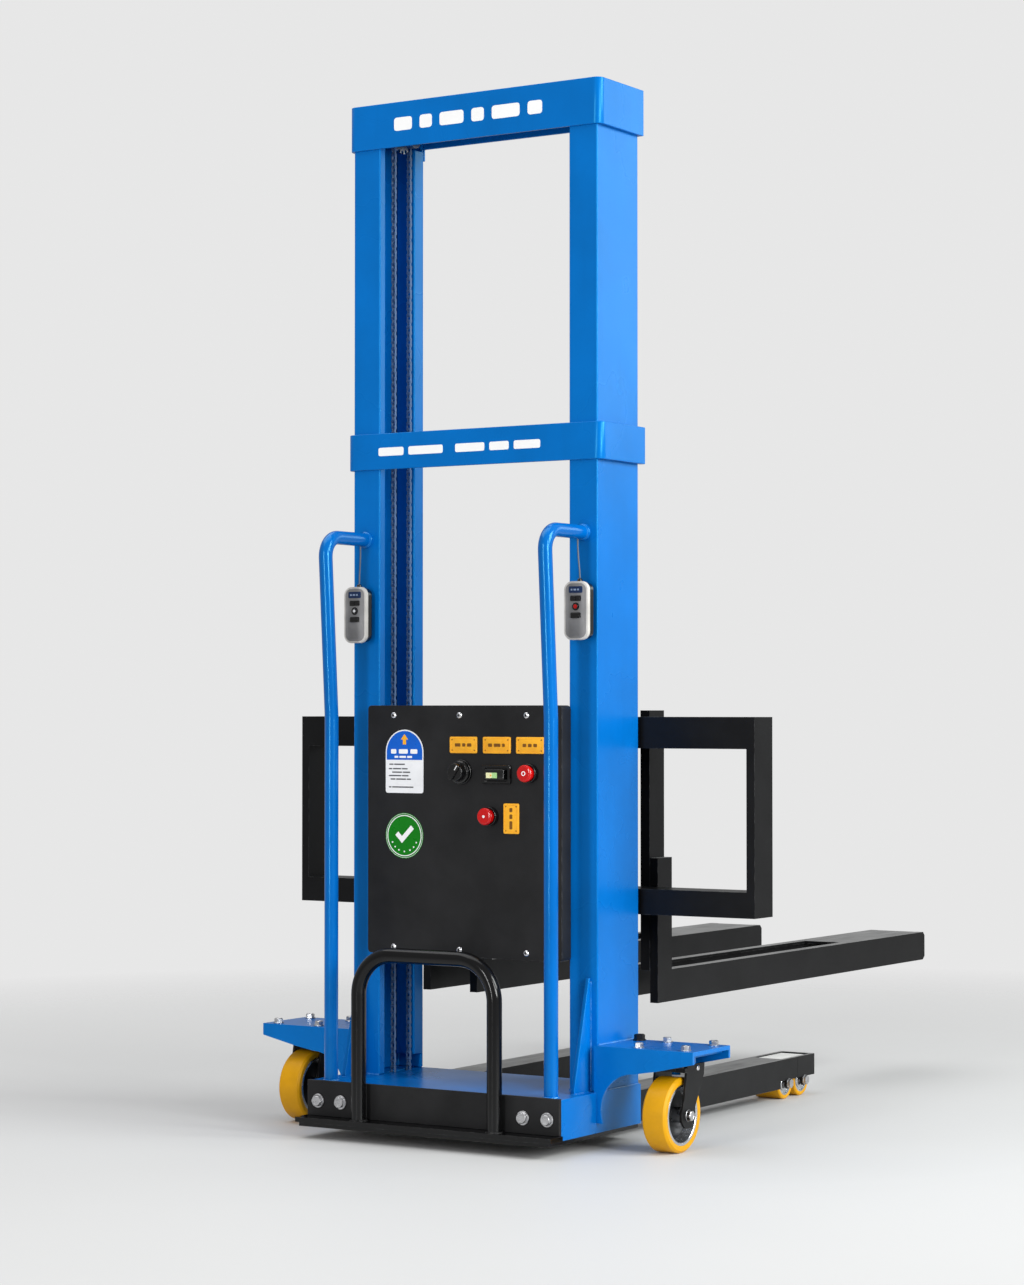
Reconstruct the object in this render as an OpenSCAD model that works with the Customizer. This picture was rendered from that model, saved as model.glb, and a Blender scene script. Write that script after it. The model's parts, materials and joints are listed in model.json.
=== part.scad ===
// Walkie stacker: single mast, chain lift, outrigger legs, two swivel casters.
// +X is the right side, +Y points along the forks, +Z is up. The origin is on the floor,
// under the middle of the overall length and width. at_mast() moves to the mast frame,
// whose Y = 0 plane is the rear face of the columns.

/* [Mast] */
// Overall height
mast_h = 2100; // [1900:10:2400]
// Half of the width over the columns
col_out = 292; // [280:1:300]
// Flange width of a column
col_w = 65; // [60:1:70]
// Front to back depth of a column
col_d = 160; // [150:1:170]
// Plate thickness of a column
col_t = 8; // [6:1:10]
// Height of the box that ties the column tops
cap_h = 92; // [70:1:110]
// Height of the middle tie band
collar_h = 74; // [60:1:90]
// Underside of the middle tie band
collar_z = 1348; // [1250:1:1450]

/* [Base] */
// Half width of the base box
base_x = 297; // [295:1:300]
// Underside of the base box
base_z0 = 32; // [30:1:36]
// Top face of the base box
base_z1 = 111; // [108:1:116]
// Rear face of the base box
base_y0 = -144; // [-150:1:-140]
// Rear edge of the ledge
ledge_y = -190; // [-200:1:-185]

/* [Forks] */
// Outer face of a fork from the centre
fork_out = 286; // [280:1:290]
// Inner face of a fork from the centre
fork_in = 150; // [146:1:152]
// Thickness of a fork side plate
fork_t = 18; // [16:1:18]
// Underside of the forks as stored
fork_z0 = 263; // [255:1:275]
// Height of a fork blade
fork_h = 65; // [60:1:70]
// Fork tip
fork_tip = 1530; // [1400:10:1600]
// Rear face of the fork shank
shank_y = 248; // [248:1:252]

/* [Backrest] */
// Half width of the load backrest
rest_x = 548; // [450:1:600]
// Rear face of the load backrest
rest_y = 170; // [168:1:172]
// Depth of the load backrest
rest_d = 76; // [70:1:78]
// Top of the load backrest
rest_z1 = 842; // [800:1:850]
// Underside of the load backrest
rest_z0 = 447; // [430:1:450]

/* [Legs and wheels] */
// Middle of a leg from the centre
leg_x = 218; // [217:1:219]
// Width of a leg
leg_w = 84; // [80:1:86]
// Tip of a leg
leg_tip = 1000; // [950:1:1050]
// Radius of a leg roller
roller_r = 35; // [33:1:36]
// Middle of a caster from the centre
caster_x = 434; // [430:1:438]
// Radius of a caster wheel
wheel_r = 73; // [70:1:74]
// Width of a caster tyre
wheel_w = 52; // [48:1:54]

/* [Control panel] */
// Half width of the panel
panel_x = 231; // [229:1:233]
// Underside of the panel
panel_z0 = 363; // [355:1:370]
// Top of the panel
panel_z1 = 865; // [855:1:875]

/* [Hidden] */
$fn = 48;
eps = 0.01;

mast_y = -(ledge_y + fork_tip) / 2;
col_in = col_out - col_w;
web_x = col_out - col_t;
cap_x = col_out + 10;
cap_z = mast_h - cap_h;
cap_t = 8;
cap_front_rise = 24;
collar_x = col_out + 13;
wrap_y0 = -6;
wrap_y1 = col_d + 6;
wrap_r = 16;
plate_t = 6;

rail_w = 45;
rail_d = 26;
rail_z0 = 140;
rail_y = col_d - col_t - rail_d;
lip_d = 20;
lip_t = 6;

chain_w = 12;
chain_x0 = col_in + 2;
chain_pitch_r = 28;
chain_half = 6;
chain_y = rail_y - 2 - chain_half - chain_pitch_r;
chain_band = 3;
teeth = 14;
tooth_tip_r = 31;
seat_r = 4.2;
sprocket_w = 4;
low_shaft_z = 70;
top_shaft_z = 2044;
shaft_r = 10;

guide_r = 30;
guide_x0 = 244;
guide_w = 28;
guide_gap = 0.3;
upper_y = rail_y - guide_r - guide_gap;
upper_z = 700;
lower_y = col_t + guide_r + guide_gap;
lower_z = 485;
stud_r = 8;
stud_fit = 0.05;
side_x = 205;
side_t = 12;

wing_x = 512;
wing_y0 = -15;
wing_y1 = 135;
wing_z = 202;
wing_t = 8;
cheek_t = 6;
king_y = (wing_y0 + wing_y1) / 2;
trail = 20;
wheel_y = king_y - trail;
bolt_dx = 104;
bolt_dy = 112;
race_r = 38;
crown_z = 158;

panel_y = -35;
cover_t = 3;
knob_x = -3;
knob_z = 732;
rocker_x = 81;
rocker_z = 728;
stop_x = 159;
stop_z = 731;
lower_x = 66;
lower_z2 = 645;

handle_x = 260;
handle_r = 14;
handle_foot_y = -122;
handle_knee_z = 840;
handle_top_y = -146;
handle_top_z = 1205;
handle_bend = 40;

guard_x = 160;
guard_y = -168;
guard_r = 15;
guard_z = 372;
guard_bend = 80;
ledge_z = 42;

remote_x = 264;
remote_y = -24;
remote_z = 1050;
remote_w = 55;
remote_h = 115;
remote_d = 25;
remote_face = remote_y - remote_d / 2;
cord_r = 1.5;
cord_sides = 8;
cord_ring = 8;

roller_rear_y = 876;
roller_front_y = 952;
roller_w = 66;
axle_r = 7;

// Moves from the mast frame to the part's own frame.
module at_mast() {
    translate([0, mast_y, 0]) children();
}

// Draws its children as they are for the right side, mirrored for the left.
module on_side(left) {
    at_mast() mirror([left ? 1 : 0, 0, 0]) children();
}

// A box from its low corner to its high corner.
module block(low, high) {
    translate(low) cube(high - low);
}

// A cylinder along X from x0 to x1.
module rod_x(x0, x1, y, z, r) {
    translate([x0, y, z]) rotate([0, 90, 0]) cylinder(h = x1 - x0, r = r);
}

// A cylinder along Y from y0 to y1.
module rod_y(y0, y1, x, z, r) {
    translate([x, y0, z]) rotate([-90, 0, 0]) cylinder(h = y1 - y0, r = r);
}

// A cylinder along Z from z0 to z1.
module rod_z(z0, z1, x, y, r) {
    translate([x, y, z0]) cylinder(h = z1 - z0, r = r);
}

// A hexagonal prism of the given width across flats, with a round washer under it.
module hex_head(flats, height, washer_r, washer_t) {
    cylinder(h = washer_t, r = washer_r);
    translate([0, 0, washer_t]) cylinder(h = height, r = flats / sqrt(3), $fn = 6);
}

// A rectangle with its four corners rounded, centred on the origin.
module rounded_rect(w, h, r) {
    square([w - 2 * r, h], center = true);
    square([w, h - 2 * r], center = true);
    for (sx = [-1, 1], sy = [-1, 1])
        translate([sx * (w / 2 - r), sy * (h / 2 - r)]) circle(r = r);
}

// A slab with rounded corners that stands upright, from y0 back to y1.
module upright_slab(x, z, w, h, r, y0, y1) {
    translate([x, y1, z]) rotate([90, 0, 0]) linear_extrude(y1 - y0) rounded_rect(w, h, r);
}

// ---------------------------------------------------------------- mast

// C section with a return lip at the rear and a guide bar in the front corner.
module column_body() {
    difference() {
        block([col_in, 0, base_z1], [col_out, col_d, mast_h - cap_t]);
        block([col_in - 1, col_t, base_z1 - 1], [web_x, col_d - col_t, mast_h]);
    }
    block([col_in, col_t - eps, base_z1], [col_in + lip_t, lip_d, mast_h - cap_t]);
    block([col_in, rail_y, rail_z0], [col_in + rail_w, col_d - col_t + eps, cap_z + 20]);
}

module left_column() {
    color("royalblue") on_side(true) column_body();
}

module right_column() {
    color("royalblue") on_side(false) column_body();
}

// Outline of a band round both columns: rounded corners at the rear, square ones at the front.
module wrap_band(half_x) {
    translate([0, (wrap_y0 + wrap_y1) / 2]) rounded_rect(2 * half_x, wrap_y1 - wrap_y0, wrap_r);
    translate([-half_x, col_d / 2]) square([2 * half_x, wrap_y1 - col_d / 2]);
}

module mast_cap() {
    color("royalblue") at_mast() translate([0, 0, cap_z]) difference() {
        linear_extrude(cap_h) wrap_band(cap_x);
        block([-col_out, 0, -1], [col_out, col_d, cap_h - cap_t]);
        block([-col_in, col_d / 2, -1], [col_in, wrap_y1 + 1, cap_front_rise]);
    }
}

module mast_collar() {
    color("royalblue") at_mast() translate([0, 0, collar_z]) linear_extrude(collar_h) difference() {
        wrap_band(collar_x);
        translate([-col_out, 0]) square([2 * col_out, wrap_y1 + 1]);
    }
}

// ---------------------------------------------------------------- base

gusset_x = 268;
gusset_t = 8;
gusset_top = 332;
gusset_foot = 62;

module gusset() {
    translate([gusset_x, 0, 0]) rotate([90, 0, 90]) linear_extrude(gusset_t)
        polygon([[0, base_z1], [-gusset_foot, base_z1], [-gusset_foot, base_z1 + 6],
            [-6, gusset_top], [0, gusset_top]]);
}

module base_frame() {
    color("royalblue") at_mast() {
        difference() {
            block([-base_x, base_y0, base_z0], [base_x, col_d, base_z1]);
            block([plate_t - base_x, base_y0 + plate_t, base_z0 - 1],
                [base_x - plate_t, col_d - plate_t, base_z1 - col_t]);
            for (s = [-1, 1])
                translate([s * (chain_x0 + chain_w / 2), chain_y, base_z1 - col_t / 2])
                    cube([chain_w + 6, 2 * (chain_pitch_r + chain_half) + 6, 2 * col_t], center = true);
        }
        for (s = [0, 1]) mirror([s, 0, 0]) gusset();
    }
}

module belly_plate() {
    color("dimgray") at_mast() {
        block([-base_x + 4, ledge_y + 4, base_z0 - 8], [base_x - 4, col_d - 5, base_z0]);
        block([-base_x - 3, ledge_y, base_z0 - eps], [base_x + 3, base_y0, ledge_z]);
    }
}

ear_in = 156;
ear_t = 8;

module rear_plate() {
    color("dimgray") at_mast() difference() {
        block([-base_x, base_y0 - ear_t, ledge_z], [base_x, base_y0, base_z1 + 2]);
        block([-ear_in, base_y0 - ear_t - 1, ledge_z - 1], [ear_in, base_y0 - 3, base_z1 + 3]);
    }
}

// One quarter of a torus that turns from +Z to -X, around its own centre.
module bend_z_to_x(bend, r) {
    rotate([90, 0, 0]) rotate_extrude(angle = 90) translate([bend, 0]) circle(r = r);
}

module foot_guard() {
    color("dimgray") at_mast() translate([0, guard_y, 0]) {
        for (s = [0, 1]) mirror([s, 0, 0]) {
            rod_z(ledge_z, guard_z - guard_bend, guard_x, 0, guard_r);
            translate([guard_x, 0, guard_z - guard_bend]) sphere(r = guard_r);
            translate([guard_x - guard_bend, 0, guard_z - guard_bend]) bend_z_to_x(guard_bend, guard_r);
            translate([guard_x - guard_bend, 0, guard_z]) sphere(r = guard_r);
        }
        rod_x(-guard_x + guard_bend, guard_x - guard_bend, 0, guard_z, guard_r);
    }
}

lean_run = handle_top_y - handle_foot_y;
lean_rise = handle_top_z - handle_bend - handle_knee_z;
lean_angle = atan2(lean_run, lean_rise);

// Push bar: upright, leaning back above the knee, then bent forward to the column.
module handle_body() {
    rod_z(base_z1, handle_knee_z, handle_x, handle_foot_y, handle_r);
    translate([handle_x, handle_foot_y, handle_knee_z]) {
        sphere(r = handle_r);
        rotate([-lean_angle, 0, 0]) cylinder(h = norm([lean_run, lean_rise]), r = handle_r);
    }
    translate([handle_x, handle_top_y, handle_top_z - handle_bend]) sphere(r = handle_r);
    translate([handle_x, handle_top_y + handle_bend, handle_top_z - handle_bend])
        rotate([90, 0, 90]) rotate([0, 0, 90]) rotate_extrude(angle = 90)
            translate([handle_bend, 0]) circle(r = handle_r);
    rod_y(handle_top_y + handle_bend - eps, 0, handle_x, handle_top_z, handle_r);
    rod_y(-6, 0, handle_x, handle_top_z, handle_r + 3);
}

module left_handle() {
    color("royalblue") on_side(true) handle_body();
}

module right_handle() {
    color("royalblue") on_side(false) handle_body();
}

// ---------------------------------------------------------------- caster wings

cheek_end_h = 24;
cheek_knee = [82, 42];
cheek_arc = [130, 125];
cheek_arc_r = 75;
cheek_low = 150;

// Side view of the front cheek of a wing: shallow all along.
module shallow_cheek() {
    polygon([[col_out, wing_z - eps], [wing_x, wing_z - eps], [wing_x, wing_z - cheek_end_h],
        [wing_x - cheek_knee[0], wing_z - cheek_knee[1]],
        [wing_x - cheek_arc[0], wing_z - cheek_arc[1] + cheek_arc_r],
        [col_out, wing_z - cheek_arc[1] + cheek_arc_r]]);
}

// Side view of the rear cheek: shallow at the open end, curving down the side of the base.
module deep_cheek() {
    shallow_cheek();
    difference() {
        polygon([[col_out, wing_z - eps], [wing_x - cheek_arc[0], wing_z - eps],
            [wing_x - cheek_arc[0], wing_z - cheek_low], [base_x, wing_z - cheek_low],
            [base_x, base_z1 + eps], [col_out, base_z1 + eps]]);
        translate([wing_x - cheek_arc[0], wing_z - cheek_arc[1]]) circle(r = cheek_arc_r);
    }
}

module wing_body() {
    difference() {
        block([col_out, wing_y0, wing_z - wing_t], [wing_x, wing_y1, wing_z]);
        for (dx = [-1, 1], dy = [-1, 1])
            rod_z(wing_z - 20, wing_z + 1, caster_x + dx * bolt_dx / 2, king_y + dy * bolt_dy / 2, 5.5);
    }
    translate([0, wing_y0 + cheek_t, 0]) rotate([90, 0, 0]) linear_extrude(cheek_t) deep_cheek();
    translate([0, wing_y1, 0]) rotate([90, 0, 0]) linear_extrude(cheek_t) shallow_cheek();
}

module left_wing() {
    color("royalblue") on_side(true) wing_body();
}

module right_wing() {
    color("royalblue") on_side(false) wing_body();
}

mount_t = 6;

// Top plate of a caster with its ball race and king pin.
module caster_mount() {
    difference() {
        block([caster_x - 64, wing_y0 + cheek_t + 1, wing_z - wing_t - mount_t],
            [caster_x + 64, wing_y1 - cheek_t - 1, wing_z - wing_t]);
        for (dx = [-1, 1], dy = [-1, 1])
            rod_z(wing_z - 20, wing_z + 1, caster_x + dx * bolt_dx / 2, king_y + dy * bolt_dy / 2, 5.5);
    }
    rod_z(crown_z + 12, wing_z - wing_t - mount_t + eps, caster_x, king_y, race_r);
    rod_z(crown_z - 10, crown_z + 13, caster_x, king_y, 9);
}

module caster_mounts() {
    color("gray") at_mast() for (s = [0, 1]) mirror([s, 0, 0]) caster_mount();
}

ear_bolt_x = [215, 270];
ear_bolt_z = 72;

module frame_bolts() {
    color("silver") at_mast() for (s = [0, 1]) mirror([s, 0, 0]) {
        for (x = ear_bolt_x)
            translate([x, base_y0 - ear_t, ear_bolt_z]) rotate([90, 0, 0]) hex_head(20, 9, 14, 2.5);
        for (dx = [-1, 1], dy = [-1, 1])
            translate([caster_x + dx * bolt_dx / 2, king_y + dy * bolt_dy / 2, wing_z])
                hex_head(16, 8, 11, 2);
        translate([318, 118, wing_z]) hex_head(19, 10, 13, 2.5);
    }
}

// ---------------------------------------------------------------- legs

leg_z0 = 26;
leg_z1 = 89;
leg_t = 6;

leg_lift = 43;
ear_r = 12;

// Outside of a leg: its lower edge is raised past the rollers, with an ear round each axle.
module leg_solid() {
    difference() {
        block([leg_x - leg_w / 2, col_d, leg_z0], [leg_x + leg_w / 2, leg_tip, leg_z1]);
        block([leg_x - leg_w, roller_rear_y - roller_r - 4, leg_z0 - 1], [leg_x + leg_w, leg_tip + 1, leg_lift]);
    }
    for (y = [roller_rear_y, roller_front_y]) {
        rod_x(leg_x - leg_w / 2, leg_x + leg_w / 2, y, roller_r, ear_r);
        block([leg_x - leg_w / 2, y - ear_r, roller_r], [leg_x + leg_w / 2, y + ear_r, leg_lift + 1]);
    }
}

// Outrigger: an inverted U beam, with a closed end and a pocket for two rollers in tandem.
module leg_body() {
    difference() {
        leg_solid();
        block([leg_x - leg_w / 2 + leg_t, col_d + leg_t, leg_z0 - 1],
            [leg_x + leg_w / 2 - leg_t, roller_rear_y - roller_r - 12, leg_z1 - leg_t]);
        block([leg_x - leg_w / 2 + leg_t, roller_rear_y - roller_r - 6, leg_z0 - ear_r],
            [leg_x + leg_w / 2 - leg_t, leg_tip - leg_t, leg_z1 - 10]);
        block([leg_x - leg_w / 2 + 9, roller_rear_y - 20, leg_z1 - 3],
            [leg_x + leg_w / 2 - 9, leg_tip - 9, leg_z1 + 1]);
        for (y = [roller_rear_y, roller_front_y])
            rod_x(leg_x - leg_w, leg_x + leg_w, y, roller_r, axle_r + stud_fit);
    }
}

module left_leg() {
    color("dimgray") on_side(true) leg_body();
}

module right_leg() {
    color("dimgray") on_side(false) leg_body();
}

module roller_axles() {
    color("silver") at_mast() for (s = [0, 1]) mirror([s, 0, 0])
        for (y = [roller_rear_y, roller_front_y]) {
            rod_x(leg_x - leg_w / 2 - 4, leg_x + leg_w / 2 + 4, y, roller_r, axle_r);
            translate([leg_x + leg_w / 2, y, roller_r]) rotate([0, 90, 0]) hex_head(18, 5, 11, 1.5);
            translate([leg_x - leg_w / 2, y, roller_r]) rotate([0, -90, 0]) hex_head(18, 5, 11, 1.5);
        }
}

// Small wheel with a groove each side of its hub.
module leg_roller(y) {
    translate([leg_x - roller_w / 2, y, roller_r]) rotate([0, 90, 0]) difference() {
        rotate_extrude() polygon([[axle_r + stud_fit, 0], [14, 0], [14, 3], [25, 3], [26, 1],
            [roller_r - 4, 1], [roller_r, 5], [roller_r, roller_w - 5], [roller_r - 4, roller_w - 1],
            [26, roller_w - 1], [25, roller_w - 3], [14, roller_w - 3], [14, roller_w],
            [axle_r + stud_fit, roller_w]]);
    }
}

module left_rear_roller() {
    color("goldenrod") on_side(true) leg_roller(roller_rear_y);
}

module left_front_roller() {
    color("goldenrod") on_side(true) leg_roller(roller_front_y);
}

module right_rear_roller() {
    color("goldenrod") on_side(false) leg_roller(roller_rear_y);
}

module right_front_roller() {
    color("goldenrod") on_side(false) leg_roller(roller_front_y);
}

// ---------------------------------------------------------------- casters

yoke_in = wheel_w / 2 + 6;
yoke_t = 5;
yoke_eye = 25;
crown_top = crown_z + 11.5;

// Tapered side of a caster fork, seen along X.
module yoke_side() {
    linear_extrude(yoke_t) difference() {
        union() {
            polygon([[king_y - 22, crown_top], [king_y + 46, crown_top], [king_y + 44, crown_z - 10],
                [wheel_y + yoke_eye - 1, wheel_r + 7], [wheel_y - yoke_eye + 0.5, wheel_r - 4],
                [king_y - 30, crown_z - 34]]);
            translate([wheel_y, wheel_r]) circle(r = yoke_eye);
        }
        translate([wheel_y, wheel_r]) circle(r = 6.05);
    }
}

module yoke_body() {
    difference() {
        union() {
            translate([caster_x - yoke_in - yoke_t, king_y - 32, crown_z - 2])
                cube([2 * (yoke_in + yoke_t), 64, 8]);
            rod_z(crown_z, crown_z + 11.7, caster_x, king_y, race_r - 2);
        }
        rod_z(crown_z - 20, crown_z + 20, caster_x, king_y, 9.05);
    }
    for (x = [caster_x - yoke_in - yoke_t, caster_x + yoke_in])
        translate([x, 0, 0]) rotate([90, 0, 90]) yoke_side();
    rod_x(caster_x - yoke_in - yoke_t - 2, caster_x + yoke_in + yoke_t + 2, wheel_y, wheel_r, 6);
    for (s = [-1, 1])
        translate([caster_x + s * (yoke_in + yoke_t), wheel_y, wheel_r]) rotate([0, s * 90, 0])
            hex_head(18, 7, 11, 2);
}

module left_yoke() {
    color("dimgray") on_side(true) yoke_body();
}

module right_yoke() {
    color("dimgray") on_side(false) yoke_body();
}

rim_r = wheel_r - 14;

// Wheel centre: sleeve, web and rim.
module hub_body() {
    translate([caster_x, wheel_y, wheel_r]) rotate([0, 90, 0]) rotate_extrude()
        polygon([[6.05, 2 - yoke_in], [16, 2 - yoke_in], [17, -8], [rim_r - 8, -5],
            [rim_r - 5, -wheel_w / 2 + 3], [rim_r, -wheel_w / 2 + 3], [rim_r, wheel_w / 2 - 3],
            [rim_r - 5, wheel_w / 2 - 3], [rim_r - 8, 5], [17, 8], [16, yoke_in - 2],
            [6.05, yoke_in - 2]]);
}

module left_hub() {
    color("lightgray") on_side(true) hub_body();
}

module right_hub() {
    color("lightgray") on_side(false) hub_body();
}

module tyre_body() {
    translate([caster_x, wheel_y, wheel_r]) rotate([0, 90, 0]) rotate_extrude()
        polygon([[rim_r, -wheel_w / 2], [wheel_r - 5, -wheel_w / 2], [wheel_r - 1, 4 - wheel_w / 2],
            [wheel_r, 9 - wheel_w / 2], [wheel_r, wheel_w / 2 - 9], [wheel_r - 1, wheel_w / 2 - 4],
            [wheel_r - 5, wheel_w / 2], [rim_r, wheel_w / 2]]);
}

module left_tyre() {
    color("goldenrod") on_side(true) tyre_body();
}

module right_tyre() {
    color("goldenrod") on_side(false) tyre_body();
}

// ---------------------------------------------------------------- lift drive

// Toothed wheel on the X axis, around the origin.
module sprocket() {
    rotate([0, 90, 0]) difference() {
        translate([0, 0, -sprocket_w / 2]) cylinder(h = sprocket_w, r = tooth_tip_r);
        for (i = [0:teeth - 1])
            rotate([0, 0, i * 360 / teeth]) translate([chain_pitch_r, 0, -sprocket_w])
                cylinder(h = 2 * sprocket_w, r = seat_r, $fn = 24);
    }
}

module cross_shaft(z) {
    rod_x(-chain_x0 - chain_w - 2, chain_x0 + chain_w + 2, chain_y, z, shaft_r);
    for (s = [-1, 1]) translate([s * (chain_x0 + chain_w / 2), chain_y, z]) sprocket();
}

module drive_shaft() {
    color("silver") at_mast() cross_shaft(low_shaft_z);
}

module top_shaft() {
    color("silver") at_mast() cross_shaft(top_shaft_z);
}

// Outline of an endless chain between the two shafts, offset from its pitch line.
module chain_outline(grow) {
    r = chain_pitch_r + grow;
    translate([chain_y, low_shaft_z]) circle(r = r);
    translate([chain_y, top_shaft_z]) circle(r = r);
    translate([chain_y - r, low_shaft_z]) square([2 * r, top_shaft_z - low_shaft_z]);
}

module chain_loop(x0, x1, inner) {
    translate([x0, 0, 0]) rotate([90, 0, 90]) linear_extrude(x1 - x0) difference() {
        chain_outline(chain_half);
        chain_outline(inner);
    }
}

module lift_chains() {
    color("gray") at_mast() for (s = [0, 1]) mirror([s, 0, 0]) {
        chain_loop(chain_x0, chain_x0 + chain_band, -chain_half);
        chain_loop(chain_x0 + chain_w - chain_band, chain_x0 + chain_w, -chain_half);
        chain_loop(chain_x0 + chain_band - eps, chain_x0 + chain_w - chain_band + eps, 3.6);
    }
}

module bearing_block(x, z, foot_z) {
    difference() {
        union() {
            rod_x(x - 8, x + 8, chain_y, z, 22);
            block([x - 8, chain_y - 22, min(z, foot_z)], [x + 8, chain_y + 22, max(z, foot_z)]);
        }
        rod_x(x - 9, x + 9, chain_y, z, shaft_r + stud_fit);
    }
}

module shaft_bearings() {
    color("gray") at_mast() for (s = [-1, 1]) {
        bearing_block(s * 208, low_shaft_z, base_z0);
        bearing_block(s * 208, top_shaft_z, mast_h - cap_t);
    }
}

// Geared motor that drives the lower shaft.
module drive_motor() {
    color("gray") at_mast() {
        difference() {
            block([-34, chain_y - 34, base_z0 + 4], [34, chain_y + 34, base_z1 - col_t - 1]);
            rod_x(-35, 35, chain_y, low_shaft_z, shaft_r + stud_fit);
        }
        rod_y(chain_y - 190, chain_y - 34 + eps, 0, low_shaft_z, 30);
        rod_y(chain_y - 206, chain_y - 190 + eps, 0, low_shaft_z, 26);
    }
}

// ---------------------------------------------------------------- carriage

rail_h = 63;
low_rail_h = 51;
post_t = 18;
bar_w = 42;
shank_post_t = 21;
shank_d = 58;
shank_z1 = 556;
post_z1 = 855;

// Channel across the carriage, open to the front.
module rest_rail(z0, z1) {
    difference() {
        block([-rest_x + eps, rest_y, z0], [rest_x - eps, rest_y + rest_d, z1]);
        block([-rest_x + post_t, rest_y + plate_t, z0 + plate_t],
            [rest_x - post_t, rest_y + rest_d + 1, z1 - plate_t]);
    }
}

module backrest() {
    color("dimgray") at_mast() {
        rest_rail(rest_z1 - rail_h, rest_z1);
        rest_rail(rest_z0, rest_z0 + low_rail_h);
        for (s = [0, 1]) mirror([s, 0, 0]) {
            block([rest_x - post_t, rest_y, rest_z0], [rest_x, rest_y + rest_d, rest_z1]);
            block([190, rest_y, rest_z0 + 10], [190 + bar_w, rest_y + rest_d, rest_z1 - 10]);
            for (x = [fork_in + fork_t, fork_out - fork_t - shank_post_t])
                block([x, rest_y + rest_d - eps, fork_z0 + fork_h],
                    [x + shank_post_t, shank_y + shank_d, post_z1]);
        }
    }
}

// L-shaped side plate of a fork, seen along X.
module fork_outline() {
    polygon([[shank_y, fork_z0], [fork_tip - 10, fork_z0], [fork_tip, fork_z0 + 8],
        [fork_tip, fork_z0 + fork_h - 8], [fork_tip - 8, fork_z0 + fork_h],
        [shank_y + shank_d, fork_z0 + fork_h], [shank_y + shank_d, shank_z1], [shank_y, shank_z1]]);
}

slot_margin = 6;
slot_end = 1125;

module fork_body() {
    for (x = [fork_in, fork_out - fork_t])
        translate([x, 0, 0]) rotate([90, 0, 90]) linear_extrude(fork_t) fork_outline();
    difference() {
        block([fork_in + fork_t - eps, shank_y + shank_d, fork_z0 + fork_h - plate_t],
            [fork_out - fork_t + eps, fork_tip - 12, fork_z0 + fork_h]);
        block([fork_in + fork_t + slot_margin, shank_y, fork_z0],
            [fork_out - fork_t - slot_margin, slot_end, fork_z0 + fork_h + 1]);
    }
    block([fork_in + fork_t - eps, fork_tip - 20, fork_z0],
        [fork_out - fork_t + eps, fork_tip - eps, fork_z0 + fork_h - 8]);
}

module left_fork() {
    color("dimgray") on_side(true) fork_body();
}

module right_fork() {
    color("dimgray") on_side(false) fork_body();
}

side_z0 = 450;
side_z1 = 731;

// Inner plate of the carriage with two roller studs and the chain anchor.
module carriage_plate() {
    block([side_x, 24, side_z0], [side_x + side_t, rest_y, side_z1]);
    for (p = [[upper_y, upper_z], [lower_y, lower_z]]) {
        rod_x(side_x + side_t - eps, guide_x0 + guide_w + 4, p[0], p[1], stud_r);
        rod_x(side_x + side_t - eps, guide_x0 - 1, p[0], p[1], stud_r + 4);
    }
    block([side_x + side_t - eps, rail_y - 18, 560], [chain_x0 - 0.5, rail_y - 0.5, 606]);
}

module carriage_plates() {
    color("dimgray") at_mast() for (s = [0, 1]) mirror([s, 0, 0]) carriage_plate();
}

module guide_pair(y, z) {
    at_mast() for (s = [0, 1]) mirror([s, 0, 0]) difference() {
        rod_x(guide_x0, guide_x0 + guide_w, y, z, guide_r);
        rod_x(guide_x0 - 1, guide_x0 + guide_w + 1, y, z, stud_r + stud_fit);
    }
}

module upper_guide_rollers() {
    color("silver") guide_pair(upper_y, upper_z);
}

module lower_guide_rollers() {
    color("silver") guide_pair(lower_y, lower_z);
}

// ---------------------------------------------------------------- control panel

box_in_x = 185;
box_back = 140;
shell_t = 3;

// Stepped shell: full width in front of the columns, narrower between them. Open to the rear.
module control_box() {
    color("dimgray") at_mast() difference() {
        union() {
            upright_slab(0, (panel_z0 + panel_z1) / 2, 2 * panel_x, panel_z1 - panel_z0, 8,
                panel_y + cover_t, 0);
            block([-box_in_x, -eps, panel_z0 + 6], [box_in_x, box_back, panel_z1 - 30]);
        }
        block([shell_t - box_in_x, panel_y, panel_z0 + 6 + shell_t],
            [box_in_x - shell_t, box_back - shell_t, panel_z1 - 30 - shell_t]);
        block([shell_t + 8 - panel_x, panel_y, panel_z0 + shell_t + 8],
            [panel_x - shell_t - 8, -shell_t, panel_z1 - shell_t - 8]);
    }
}

module panel_cover() {
    color("dimgray") at_mast() difference() {
        upright_slab(0, (panel_z0 + panel_z1) / 2, 2 * panel_x, panel_z1 - panel_z0, 8,
            panel_y, panel_y + cover_t);
        for (p = [[knob_x, knob_z], [stop_x, stop_z], [lower_x, lower_z2]])
            rod_y(panel_y - 1, panel_y + cover_t + 1, p[0], p[1], 11);
        block([rocker_x - 21, panel_y - 1, rocker_z - 10], [rocker_x + 21, panel_y + cover_t + 1, rocker_z + 10]);
    }
}

screw_x = [-167, -8, 150];
screw_inset = [20, 14];

module panel_screws() {
    color("silver") at_mast() for (x = screw_x, z = [panel_z0 + screw_inset[1], panel_z1 - screw_inset[0]])
        translate([x, panel_y, z]) rotate([90, 0, 0]) difference() {
            union() {
                cylinder(h = 2, r = 6.5);
                translate([0, 0, 2]) cylinder(h = 2, r1 = 6, r2 = 4);
            }
            translate([0, 0, 3.5]) cube([9, 1.2, 2], center = true);
            translate([0, 0, 3.5]) cube([1.2, 9, 2], center = true);
        }
}

legend_t = 3;

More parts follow.
